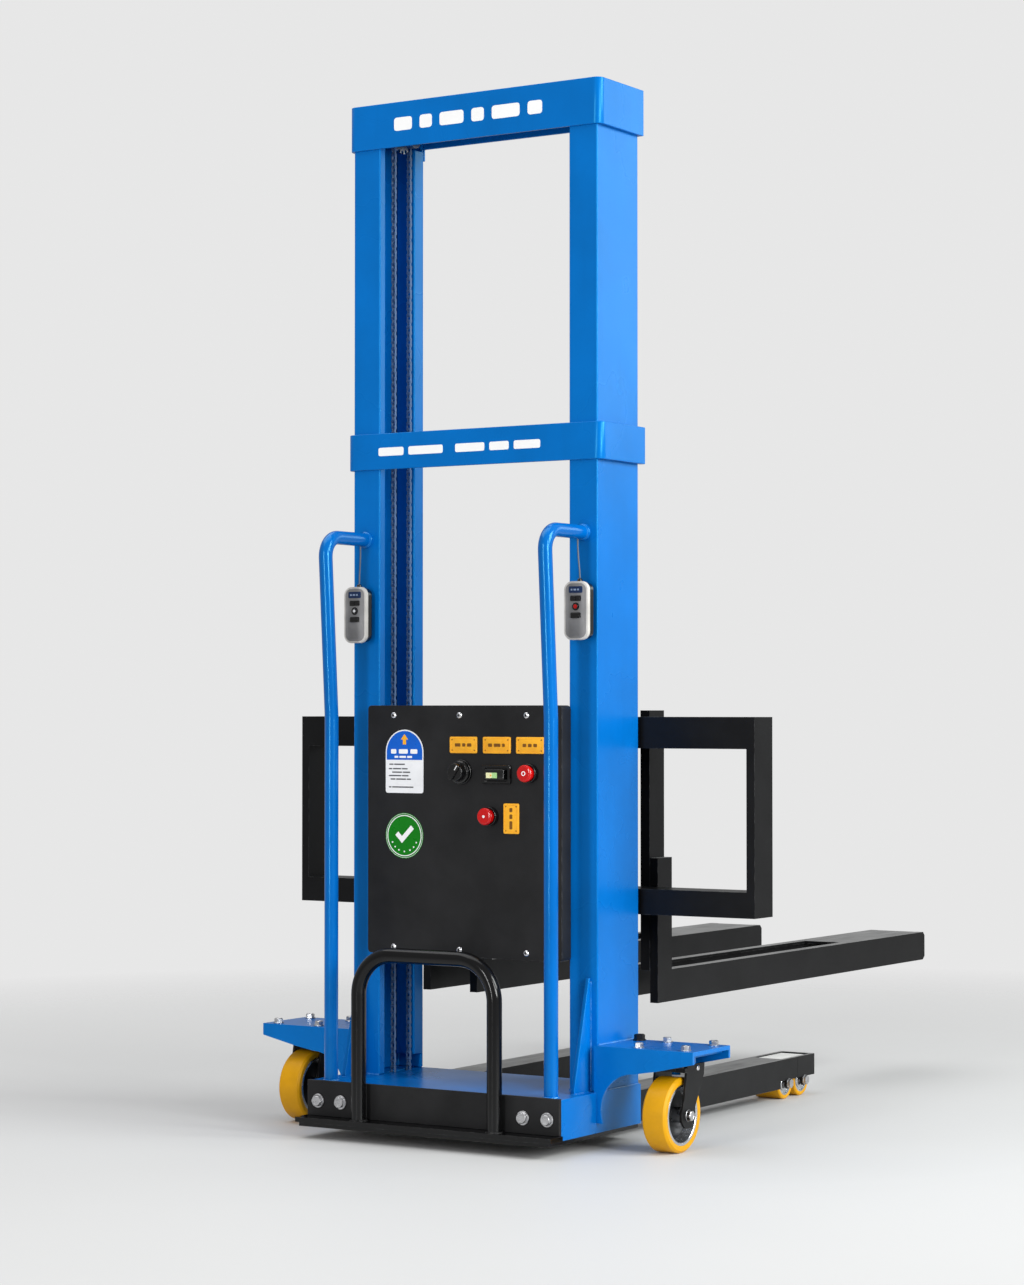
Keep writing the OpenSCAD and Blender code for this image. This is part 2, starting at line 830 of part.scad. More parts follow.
module label_plates() {
    color("orange") at_mast() {
        for (x = [2, 81, 159]) upright_slab(x, 786, 65, 33, 3, panel_y - legend_t, panel_y);
        upright_slab(115, 641, 36, 60, 3, panel_y - legend_t, panel_y);
    }
}

label_x = -141;
label_t = 0.8;

module panel_labels() {
    color("white") at_mast() {
        translate([label_x, panel_y, 688]) rotate([90, 0, 0]) linear_extrude(label_t) {
            translate([0, 46]) rounded_rect(92, 92, 6);
            translate([-46, 60]) square([92, 22]);
            translate([0, 82]) circle(r = 46);
        }
        rod_y(panel_y - label_t, panel_y, label_x, 602, 46);
    }
}

collar_r = 19;
ring_t = 5;

module control_bezels() {
    color("black") at_mast() {
        difference() {
            union() {
                rod_y(panel_y - ring_t, panel_y, knob_x, knob_z, 25);
                rod_y(panel_y - 12, panel_y, stop_x, stop_z, collar_r);
                rod_y(panel_y - 12, panel_y, lower_x, lower_z2, collar_r);
                for (p = [[knob_x, knob_z], [stop_x, stop_z], [lower_x, lower_z2]])
                    rod_y(panel_y - 1, panel_y + 22, p[0], p[1], 10.8);
            }
            for (p = [[knob_x, knob_z], [stop_x, stop_z], [lower_x, lower_z2]]) {
                rod_y(panel_y - 40, panel_y + 18, p[0], p[1], 5.05);
            }
            for (p = [[stop_x, stop_z], [lower_x, lower_z2]])
                rod_y(panel_y - 40, panel_y - 4, p[0], p[1], 16);
        }
        difference() {
            union() {
                upright_slab(rocker_x, rocker_z, 68, 37, 4, panel_y - 6, panel_y);
                block([rocker_x - 20, panel_y - 1, rocker_z - 9], [rocker_x + 20, panel_y + 20, rocker_z + 9]);
            }
            block([rocker_x - 26, panel_y - 7, rocker_z - 12], [rocker_x + 26, panel_y - 2, rocker_z + 12]);
            block([rocker_x - 17, panel_y - 3, rocker_z - 7], [rocker_x + 17, panel_y + 17, rocker_z + 7]);
        }
    }
}

module knob() {
    color("black") at_mast() {
        rod_y(panel_y - ring_t - 8, panel_y - ring_t - 0.5, knob_x, knob_z, 23);
        rod_y(panel_y - 28, panel_y - ring_t - 7, knob_x, knob_z, 19);
        translate([knob_x, panel_y - 27, knob_z]) rotate([0, -35, 0]) cube([12, 10, 38], center = true);
        rod_y(panel_y - ring_t - 1, panel_y + 16, knob_x, knob_z, 5);
    }
}

rocker_pivot_y = panel_y + 4;

module rocker() {
    color("ivory") at_mast() {
        translate([rocker_x, rocker_pivot_y, rocker_z]) {
            block([-15, -16, -6], [15, 3, 6]);
            block([-24, -17, -10.5], [24, -11, 10.5]);
        }
    }
}

// Mushroom head on a stem.
module push_head(x, z) {
    rod_y(panel_y - 24, panel_y - 17, x, z, 17);
    rod_y(panel_y - 18, panel_y - 11, x, z, 15);
    rod_y(panel_y - 12, panel_y + 12, x, z, 5);
    translate([x, panel_y - 23.9, z]) rotate([90, 0, 0]) cylinder(h = 4, r1 = 16, r2 = 11);
}

module stop_button() {
    color("red") at_mast() push_head(stop_x, stop_z);
}

module lower_button() {
    color("red") at_mast() push_head(lower_x, lower_z2);
}

module battery() {
    color("darkslategray") at_mast() for (s = [-1, 1])
        block([s * 88 - 80, 20, panel_z0 + 6 + shell_t], [s * 88 + 80, 130, panel_z0 + 200]);
}

module controller() {
    color("gray") at_mast() {
        block([-120, 60, 620], [120, box_back - shell_t, 700]);
        for (x = [-110:20:110]) block([x - 2, 46, 622], [x + 2, 60 + eps, 698]);
    }
}

// ---------------------------------------------------------------- pendant handsets

key_y = remote_face;

// Handset body, rounded at both ends, with pockets for its keys.
module remote_body() {
    difference() {
        union() {
            upright_slab(remote_x, remote_z, remote_w, remote_h, 16, remote_face, remote_face + 9);
            upright_slab(remote_x, remote_z, remote_w - 4, remote_h - 4, 14, remote_face + 8.9,
                remote_face + remote_d);
            rod_z(remote_z + remote_h / 2 - 2, remote_z + remote_h / 2 + 6, remote_x, remote_y + 4, 5);
        }
        upright_slab(remote_x, remote_z + 24, 23, 9, 2, remote_face - 1, remote_face + 5);
        rod_y(remote_face - 1, remote_face + 6, remote_x, remote_z + 8, 6.6);
        upright_slab(remote_x, remote_z - 10, 22, 11, 2, remote_face - 1, remote_face + 6);
    }
}

module pair_key() {
    block([remote_x - 10.5, key_y - 1.5, remote_z + 20.5], [remote_x - 1, key_y + 3, remote_z + 27.5]);
    block([remote_x + 1, key_y - 1.5, remote_z + 20.5], [remote_x + 10.5, key_y + 3, remote_z + 27.5]);
    block([remote_x - 10.5, key_y + 1.5, remote_z + 21.5], [remote_x + 10.5, key_y + 3.5, remote_z + 26.5]);
}

module round_key() {
    rod_y(key_y - 2, key_y + 3.5, remote_x, remote_z + 8, 6);
}

module arch_key() {
    upright_slab(remote_x, remote_z - 10, 20.6, 9.6, 2, key_y - 2, key_y + 3.5);
}

module left_remote() {
    color("silver") on_side(true) remote_body();
}

module right_remote() {
    color("silver") on_side(false) remote_body();
}

module left_pair_key() {
    color("black") on_side(true) pair_key();
}

module right_pair_key() {
    color("black") on_side(false) pair_key();
}

module left_round_key() {
    color("white") on_side(true) round_key();
}

module right_round_key() {
    color("red") on_side(false) round_key();
}

module left_arch_key() {
    color("black") on_side(true) arch_key();
}

module right_arch_key() {
    color("black") on_side(false) arch_key();
}

// Route of a hanging cord, from the underside of the handle to the top of the handset.
cord_route = [[260, -22, 1190.3], [260, -21.8, 1176], [260.8, -21.4, 1160], [262, -21, 1145],
    [263.2, -20.4, 1130], [264, -20, 1113.5]];

function lerp(a, b, t) = a + (b - a) * t;
function cord_point(s) = let (n = len(cord_route) - 1, k = min(n - 1, floor(s * n)))
    lerp(cord_route[k], cord_route[k + 1], s * n - k);

module cord_body() {
    rings = ceil((cord_route[0][2] - cord_route[len(cord_route) - 1][2]) / cord_ring);
    points = [for (i = [0:rings], j = [0:cord_sides - 1]) let (a = j * 360 / cord_sides)
        cord_point(i / rings) + [cord_r * cos(a), cord_r * sin(a), 0]];
    sides = [for (i = [0:rings - 1], j = [0:cord_sides - 1]) let (k = (j + 1) % cord_sides)
        [i * cord_sides + j, i * cord_sides + k, (i + 1) * cord_sides + k, (i + 1) * cord_sides + j]];
    top_face = [for (j = [cord_sides - 1:-1:0]) j];
    low_face = [for (j = [0:cord_sides - 1]) rings * cord_sides + j];
    polyhedron(points = points, faces = concat([top_face], sides, [low_face]), convexity = 2);
}

module left_cord() {
    color("gray") on_side(true) cord_body();
}

module right_cord() {
    color("gray") on_side(false) cord_body();
}

left_column();
right_column();
mast_cap();
mast_collar();
base_frame();
belly_plate();
rear_plate();
foot_guard();
left_handle();
right_handle();
left_wing();
right_wing();
caster_mounts();
frame_bolts();
left_leg();
right_leg();
roller_axles();
control_box();
panel_cover();
panel_screws();
label_plates();
panel_labels();
control_bezels();
battery();
controller();
drive_motor();
shaft_bearings();
lift_chains();
backrest();
left_fork();
right_fork();
carriage_plates();
upper_guide_rollers();
lower_guide_rollers();
drive_shaft();
top_shaft();
left_yoke();
right_yoke();
left_hub();
right_hub();
left_tyre();
right_tyre();
left_rear_roller();
left_front_roller();
right_rear_roller();
right_front_roller();
knob();
rocker();
stop_button();
lower_button();
left_remote();
right_remote();
left_cord();
right_cord();
left_pair_key();
right_pair_key();
left_round_key();
right_round_key();
left_arch_key();
right_arch_key();
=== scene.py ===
import json
import math
import random

import bmesh
import bpy
from mathutils import Matrix, Vector


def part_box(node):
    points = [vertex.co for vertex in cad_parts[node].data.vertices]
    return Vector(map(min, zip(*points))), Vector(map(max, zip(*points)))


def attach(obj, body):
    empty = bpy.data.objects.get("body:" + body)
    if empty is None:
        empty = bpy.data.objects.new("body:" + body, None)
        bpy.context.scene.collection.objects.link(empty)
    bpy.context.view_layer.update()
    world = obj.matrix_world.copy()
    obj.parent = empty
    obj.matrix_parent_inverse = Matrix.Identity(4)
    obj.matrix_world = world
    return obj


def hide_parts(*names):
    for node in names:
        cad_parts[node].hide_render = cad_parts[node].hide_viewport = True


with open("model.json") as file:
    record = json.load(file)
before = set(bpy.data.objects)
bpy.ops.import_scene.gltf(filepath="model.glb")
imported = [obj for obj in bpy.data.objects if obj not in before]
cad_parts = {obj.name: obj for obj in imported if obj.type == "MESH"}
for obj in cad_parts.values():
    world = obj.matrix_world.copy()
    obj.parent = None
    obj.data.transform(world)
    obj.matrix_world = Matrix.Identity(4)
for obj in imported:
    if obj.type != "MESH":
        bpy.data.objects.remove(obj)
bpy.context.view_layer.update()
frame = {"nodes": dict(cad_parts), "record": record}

SCENE = bpy.context.scene
NODES = frame["nodes"]
MM = 0.001
IMAGE_W = 1024
IMAGE_H = 1285
random.seed(5)


# ------------------------------------------------------------------ places worked out from the frame

COLUMN_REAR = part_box("right_column")[0].y


def at(x, y, z):
    """A point in metres from millimetres in the mast frame, whose Y = 0 is the columns' rear face."""
    return Vector((x * MM, y * MM + COLUMN_REAR, z * MM))


# ------------------------------------------------------------------ camera

FOCAL_PX = 3038.0
SENSOR_MM = 36.0
CAMERA_AT = at(3332.2, -5110.7, 858.2)
CAMERA_YAW = math.radians(32.36)
CAMERA_PITCH = math.radians(1.25)
VIEW_REACH = 200


def make_camera():
    """The photo's camera: behind the machine, to its right, at hip height."""
    data = bpy.data.cameras.new("camera")
    data.sensor_width = SENSOR_MM
    data.lens = FOCAL_PX / max(IMAGE_W, IMAGE_H) * SENSOR_MM
    data.clip_end = VIEW_REACH
    cam = bpy.data.objects.new("camera", data)
    cam.location = CAMERA_AT
    cam.rotation_euler = (math.pi / 2 + CAMERA_PITCH, 0, CAMERA_YAW)
    SCENE.collection.objects.link(cam)
    SCENE.camera = cam


make_camera()


# ------------------------------------------------------------------ materials

# how far up a normal points where the grey of top faces starts, and where it is full: scuffs, and a
# painted sheen
TILTED = 0.9
LEVEL = 0.98
# how well a rounded normal agrees with the true one where edge marks start, and where they are full:
# rubbed grey on black coats, a painted highlight on blue coats
SHARP = 0.995
SHARPEST = 0.9
PAINT_SHEEN = (0.15, 0.85, 1, 1)


class Shader:
    """A node material built step by step, with a Principled BSDF at its end."""

    def __init__(self, name):
        self.mat = bpy.data.materials.new(name)
        self.mat.use_nodes = True
        self.tree = self.mat.node_tree
        self.tree.nodes.clear()
        self.out = self.node("ShaderNodeOutputMaterial")
        self.bsdf = self.node("ShaderNodeBsdfPrincipled")
        self.link(self.bsdf.outputs[0], self.out.inputs[0])
        self.coords = self.node("ShaderNodeTexCoord").outputs["Object"]

    def node(self, kind, **settings):
        made = self.tree.nodes.new(kind)
        for key, value in settings.items():
            setattr(made, key, value)
        return made

    def link(self, a, b):
        self.tree.links.new(a, b)

    def feed(self, socket, value):
        """Links an input to another node's output, or sets it to a number or a colour."""
        if isinstance(value, bpy.types.NodeSocket):
            self.link(value, socket)
        else:
            socket.default_value = (*value, 1) if isinstance(value, tuple) else value

    def set(self, **values):
        """Sets inputs of the Principled BSDF by name, with _ for each space."""
        for key, value in values.items():
            self.bsdf.inputs[key.replace("_", " ")].default_value = value

    def noise(self, scale, detail=4.0, rough=0.55, stretch=None):
        """Noise in the object's own space. stretch multiplies the space's three directions."""
        tex = self.node("ShaderNodeTexNoise")
        tex.inputs["Scale"].default_value = scale
        tex.inputs["Detail"].default_value = detail
        tex.inputs["Roughness"].default_value = rough
        source = self.coords
        if stretch:
            mapping = self.node("ShaderNodeMapping")
            mapping.inputs["Scale"].default_value = stretch
            self.link(source, mapping.inputs["Vector"])
            source = mapping.outputs[0]
        self.link(source, tex.inputs["Vector"])
        return tex.outputs["Fac"]

    def spread(self, value, low_to, high_to, low_from=0.3, high_from=0.7):
        """Maps a range of a value to another range, and holds it at both ends."""
        made = self.node("ShaderNodeMapRange")
        for key, number in (("From Min", low_from), ("From Max", high_from),
                            ("To Min", low_to), ("To Max", high_to)):
            made.inputs[key].default_value = number
        self.link(value, made.inputs["Value"])
        return made.outputs[0]

    def mix(self, factor, a, b):
        """Colour a where the factor is 0, and colour b where it is 1."""
        made = self.node("ShaderNodeMix", data_type="RGBA")
        for index, value in ((0, factor), (6, a), (7, b)):
            self.feed(made.inputs[index], value)
        return made.outputs[2]

    def times(self, a, b):
        made = self.node("ShaderNodeMath", operation="MULTIPLY", use_clamp=True)
        self.feed(made.inputs[0], a)
        self.feed(made.inputs[1], b)
        return made.outputs[0]

    def bump(self, height, strength, distance):
        made = self.node("ShaderNodeBump")
        made.inputs["Strength"].default_value = strength
        made.inputs["Distance"].default_value = distance
        self.link(height, made.inputs["Height"])
        self.link(made.outputs[0], self.bsdf.inputs["Normal"])

    def edge(self, radius, sharp_from, sharp_to):
        """1 along sharp edges, 0 on flat faces, from how far a rounded normal leans off the true one."""
        bevel = self.node("ShaderNodeBevel", samples=4)
        bevel.inputs["Radius"].default_value = radius
        geometry = self.node("ShaderNodeNewGeometry")
        dot = self.node("ShaderNodeVectorMath", operation="DOT_PRODUCT")
        self.link(bevel.outputs[0], dot.inputs[0])
        self.link(geometry.outputs["Normal"], dot.inputs[1])
        return self.spread(dot.outputs["Value"], 1.0, 0.0, sharp_to, sharp_from)

    def facing_up(self):
        """1 on level faces that look up, 0 on the rest."""
        split = self.node("ShaderNodeSeparateXYZ")
        self.link(self.node("ShaderNodeNewGeometry").outputs["Normal"], split.inputs[0])
        return self.spread(split.outputs["Z"], 0, 1, TILTED, LEVEL)

    def colour(self, socket):
        self.link(socket, self.bsdf.inputs["Base Color"])

    def roughness(self, socket):
        self.link(socket, self.bsdf.inputs["Roughness"])


def srgb(r, g, b):
    """Linear colour from 8-bit display values."""
    def one(v):
        v = v / 255
        return v / 12.92 if v <= 0.04045 else ((v + 0.055) / 1.055) ** 2.4
    return tuple(one(v) for v in (r, g, b))


def scaled(colour, factor):
    return tuple(min(1.0, c * factor) for c in colour)


FINE_BUMP = 0.0003
METAL_BUMP = 0.0004
COARSE_BUMP = 0.0008
BLUE = srgb(0, 103, 186)
# painted highlight: the pale blue that blue coats are lightened to along their edges
EDGE_HIGHLIGHT_BLUE = srgb(90, 170, 240)
BLACK = srgb(17, 17, 18)
RUBBED_GREY = srgb(118, 118, 118)
# partly scuff grey, partly painted sheen: the grey that level top faces turn
SCUFF_AND_SHEEN_GREY = srgb(150, 150, 150)


def powder_coat(name, colour, edge_highlight_colour, rough=(0.26, 0.3), coat=0.0, edge_wear_and_highlight=0.35, peel=0.03):
    """Powder-coated steel: faint mottling and streaks, orange peel, and thin edges lightened in patches, a
    painted highlight for the light its edges catch.
    """
    s = Shader(name)
    mottling = s.spread(s.noise(6, 5), 0, 1)
    base = s.mix(mottling, scaled(colour, 0.9), scaled(colour, 1.08))
    streaks = s.spread(s.noise(3.5, 6, 0.6, stretch=(9, 9, 0.7)), 0, 0.16, 0.5, 0.75)
    base = s.mix(streaks, base, scaled(colour, 0.7))
    patches = s.spread(s.noise(45, 5), 0, edge_wear_and_highlight, 0.42, 0.62)
    # painted highlight: sharp edges turn toward the pale colour, in patches
    highlit_edges = s.times(s.edge(0.0016, SHARP, SHARPEST), patches)
    s.colour(s.mix(highlit_edges, base, edge_highlight_colour))
    s.roughness(s.spread(s.noise(5, 3), *rough))
    s.bump(s.noise(1400, 2), peel, FINE_BUMP)
    s.set(Coat_Weight=coat, Coat_Roughness=0.12, Specular_IOR_Level=0.5, Specular_Tint=PAINT_SHEEN)
    return s.mat


def black_coat(name, colour, rough=(0.28, 0.38), grain=700, peel=0.09, edge_wear_and_highlight=0.5, top=0.0, shine=0.15):
    """Textured black coat. top is how far upward faces are turned grey, partly scuffs and partly a painted
    sheen for the light that top faces catch.
    """
    s = Shader(name)
    mottling = s.spread(s.noise(9, 5), 0, 1)
    base = s.mix(mottling, scaled(colour, 0.75), scaled(colour, 1.3))
    patches = s.spread(s.noise(60, 5), 0, edge_wear_and_highlight, 0.45, 0.62)
    base = s.mix(s.times(s.edge(0.0014, SHARP, SHARPEST), patches), base, RUBBED_GREY)
    if top:
        # partly real scuffs, partly painted sheen: level top faces turn grey in streaks
        scuffs_and_sheen = s.spread(s.noise(40, 6, 0.65, stretch=(3, 0.15, 1)), top * 0.45, top, 0.35, 0.65)
        base = s.mix(s.times(s.facing_up(), scuffs_and_sheen), base, SCUFF_AND_SHEEN_GREY)
    s.colour(base)
    s.roughness(s.spread(s.noise(20, 5), *rough))
    s.bump(s.noise(grain, 3), peel, COARSE_BUMP)
    s.set(Specular_IOR_Level=shine)
    return s.mat


def bare_metal(name, colour, rough=(0.22, 0.42), scale=60):
    """Unpainted metal with cloudy colour, and finer clouds in its roughness."""
    s = Shader(name)
    s.set(Metallic=1.0)
    clouds = s.spread(s.noise(scale, 5), 0, 1)
    s.colour(s.mix(clouds, scaled(colour, 0.82), scaled(colour, 1.1)))
    s.roughness(s.spread(s.noise(scale * 2, 6, 0.6), *rough))
    s.bump(s.noise(scale * 8, 3, 0.5), 0.05, METAL_BUMP)
    return s.mat


def moulded(name, colour, rough=(0.3, 0.42), grain=1200, bump=0.05, coat=0.0, vary=0.12):
    """Plastic, rubber, film or print: an even colour that varies a little, with a fine grain."""
    s = Shader(name)
    clouds = s.spread(s.noise(30, 4), 0, 1)
    s.colour(s.mix(clouds, scaled(colour, 1 - vary), scaled(colour, 1 + vary)))
    s.roughness(s.spread(s.noise(70, 5), *rough))
    s.bump(s.noise(grain, 2), bump, FINE_BUMP)
    s.set(Coat_Weight=coat, Coat_Roughness=0.1, Specular_IOR_Level=0.25)
    return s.mat


M = {
    "blue": powder_coat("blue_powder_coat", BLUE, EDGE_HIGHLIGHT_BLUE),
    # painted shade: a darker copy of the blue paint for the push bars, so their highlights stand out
    "shaded_tube_blue": powder_coat("blue_coat_painted_shade", srgb(0, 96, 178), EDGE_HIGHLIGHT_BLUE, (0.13, 0.19), 0.12),
    "black": black_coat("black_powder_coat", BLACK),
    # legs and forks: grey tops, partly scuffs and partly a painted sheen
    "scuffed_sheen_black": black_coat("scuffed_black_coat_painted_sheen", BLACK, top=0.75),
    "panel": black_coat("panel_texture_coat", srgb(34, 34, 35), (0.34, 0.44), 420, 0.16),
    "satin_black": black_coat("satin_black_coat", srgb(9, 9, 10), (0.12, 0.18), 900, 0.02, 0.3, shine=0.3),
    "zinc": bare_metal("zinc_plate", srgb(196, 196, 198)),
    "bright_zinc": bare_metal("bright_zinc", srgb(228, 228, 230), (0.14, 0.3), 80),
    "steel": bare_metal("machined_steel", srgb(150, 151, 154)),
    "dark_steel": bare_metal("blackened_steel", srgb(52, 52, 54), (0.35, 0.5), 120),
    # painted reflection: a blue-grey colour on a non-metal stands in for the blue mast reflected in the
    # steel chain
    "chain": moulded("chain_painted_blue_reflection", srgb(84, 112, 152), (0.3, 0.45), 900, 0.05),
    "hub": bare_metal("cast_aluminium", srgb(206, 208, 211), (0.18, 0.32), 40),
    "dark_cast": black_coat("dark_cast_web", srgb(24, 25, 28), (0.4, 0.55), 300, 0.15),
    "tyre": moulded("polyurethane", srgb(206, 148, 0), (0.34, 0.5), 300, 0.08, 0, 0.06),
    "amber": moulded("amber_plate", srgb(255, 178, 44), (0.25, 0.38), 900, 0.04, 0.1),
    "amber_dark": moulded("amber_print", srgb(120, 78, 26), (0.3, 0.45), 700, 0.05),
    "film": moulded("label_film", srgb(240, 241, 243), (0.25, 0.35), 500, 0.02, 0.05, 0.03),
    "label_blue": moulded("label_blue", srgb(12, 94, 200), (0.25, 0.35), 500, 0.02, 0.05, 0.05),
    "label_green": moulded("label_green", srgb(6, 120, 14), (0.25, 0.36), 500, 0.02, 0.05, 0.06),
    "print_grey": moulded("print_grey", srgb(82, 84, 88), (0.35, 0.45)),
    "print_pale": moulded("print_pale", srgb(150, 170, 200), (0.3, 0.4)),
    "gloss_black": moulded("black_plastic", srgb(14, 14, 15), (0.14, 0.22), 900, 0.02, 0.5),
    "lit": moulded("lit_plastic", srgb(240, 240, 190), (0.2, 0.3)),
    "lit_green": moulded("lit_green_plastic", srgb(178, 222, 150), (0.2, 0.3)),
    "red": moulded("red_plastic", srgb(194, 12, 12), (0.16, 0.24), 900, 0.02, 0.4),
    "grey": moulded("grey_plastic", srgb(130, 129, 129), (0.36, 0.48), 1400, 0.08),
    "remote_rim": moulded("remote_rim", srgb(196, 193, 188), (0.25, 0.36), 1400, 0.05, 0.1),
    "display": moulded("blue_display", srgb(18, 44, 84), (0.12, 0.2), 900, 0.02, 0.3),
    "white": moulded("white_plastic", srgb(246, 246, 246), vary=0.02),
    "pale_plate": moulded("pale_plate", srgb(224, 224, 222), (0.35, 0.5), 300, 0.1),
    "case": moulded("battery_case", srgb(44, 48, 54), (0.45, 0.6), 600, 0.12),
    "cord": moulded("cord_rubber", srgb(110, 116, 124), (0.5, 0.65), 2000, 0.05),
    # painted highlight: the beads' edges turn pale blue-white in patches
    "weld_blue": powder_coat("painted_weld", BLUE, srgb(150, 200, 240), (0.22, 0.32), 0.4, 0.6, 0.1),
    "weld_black": black_coat("painted_black_weld", BLACK, (0.25, 0.4), 300, 0.2),
}
SLOT_MATERIAL = {
    "blue_paint": "blue", "black_paint": "black", "zinc": "zinc", "steel": "steel",
    "cast_hub": "hub", "polyurethane": "tyre", "amber_plate": "amber", "label_film": "film",
    "black_plastic": "gloss_black", "lit_plastic": "lit", "red_plastic": "red",
    "grey_plastic": "grey", "white_plastic": "white", "battery_case": "case", "cord_rubber": "cord",
}


# ------------------------------------------------------------------ CAD nodes that stay

SMOOTH_BELOW = math.radians(32)
FLAT_WITHIN = math.radians(0.5)
SAME_POINT = 1e-6
PAINTED = ("blue_paint", "black_paint")
PAINT_ROUND = 0.0012
FINE_ROUND = 0.0006
WIDE_ROUND = {"left_column": 0.004, "right_column": 0.004, "mast_collar": 0.0015}
NODE_MATERIAL = {
    "panel_cover": "panel", "control_box": "panel", "rear_plate": "panel", "belly_plate": "satin_black",
    "left_leg": "scuffed_sheen_black", "right_leg": "scuffed_sheen_black", "left_fork": "scuffed_sheen_black",
    "right_fork": "scuffed_sheen_black", "left_round_key": "gloss_black", "right_round_key": "gloss_black",
}


def soften_edges(obj, width):
    """Rounds a CAD node's sharp edges by modifiers, and leaves its mesh alone."""
    weld = obj.modifiers.new("weld", "WELD")
    weld.merge_threshold = SAME_POINT
    flat = obj.modifiers.new("flat", "DECIMATE")
    flat.decimate_type = "DISSOLVE"
    flat.angle_limit = FLAT_WITHIN
    bevel = obj.modifiers.new("round", "BEVEL")
    bevel.width = width
    bevel.segments = 3
    bevel.limit_method = "ANGLE"
    bevel.angle_limit = SMOOTH_BELOW
    bevel.harden_normals = True


def dress_nodes():
    """Gives each CAD node the material of its slot, or its own one, and rounds its edges."""
    slots = {row["node"]: row["material_slot"] for row in frame["record"]["subparts"]}
    for name, obj in NODES.items():
        slot = slots[name]
        obj.data.materials.clear()
        obj.data.materials.append(M[NODE_MATERIAL.get(name, SLOT_MATERIAL[slot])])
        soften_edges(obj, WIDE_ROUND.get(name, PAINT_ROUND if slot in PAINTED else FINE_ROUND))


dress_nodes()


# ------------------------------------------------------------------ shapes

SIDES = {"right": 1, "left": -1}
UP = Matrix.Identity(4)
TO_RIGHT = Matrix.Rotation(math.pi / 2, 4, "Y")
TO_REAR = Matrix.Rotation(math.pi / 2, 4, "X")


def place(x, y, z, turn=UP):
    """The matrix that puts a shape drawn in millimetres at a point of the mast frame."""
    return Matrix.Translation(at(x, y, z)) @ turn @ Matrix.Scale(MM, 4)


def fillet(points, radius, steps=5, closed=True):
    """Rounds a line's corners, in two or three dimensions. A corner with radius 0 stays sharp."""
    points = [Vector(p) for p in points]
    radii = radius if isinstance(radius, (list, tuple)) else [radius] * len(points)
    made = []
    for i, corner in enumerate(points):
        if radii[i] <= 0 or (not closed and i in (0, len(points) - 1)):
            made.append(corner)
            continue
        back = (points[i - 1] - corner).normalized()
        ahead = (points[(i + 1) % len(points)] - corner).normalized()
        half = back.angle(ahead) / 2
        centre = corner + (back + ahead).normalized() * radii[i] / math.sin(half)
        start = corner + back * radii[i] / math.tan(half) - centre
        end = corner + ahead * radii[i] / math.tan(half) - centre
        sweep = start.angle(end)
        for k in range(steps + 1):
            a, b = sweep * (1 - k / steps), sweep * k / steps
            made.append(centre + (start * math.sin(a) + end * math.sin(b)) / math.sin(sweep))
    return made


def rounded_box(width, height, radius, steps=5):
    """A rectangle round the origin with round corners."""
    x, y = width / 2, height / 2
    return fillet([(-x, -y), (x, -y), (x, y), (-x, y)], radius, steps)


def arc(radius, height, steps=32):
    """A half circle from right to left, with its centre at a height."""
    angles = [math.pi * k / steps for k in range(steps + 1)]
    return [Vector((radius * math.cos(a), height + radius * math.sin(a))) for a in angles]


def circle(radius, steps=48):
    angles = [2 * math.pi * k / steps for k in range(steps)]
    return [Vector((radius * math.cos(a), radius * math.sin(a))) for a in angles]


def shifted(outline, dx, dy):
    return [Vector((p.x + dx, p.y + dy)) for p in outline]


EDGE_RINGS = 3


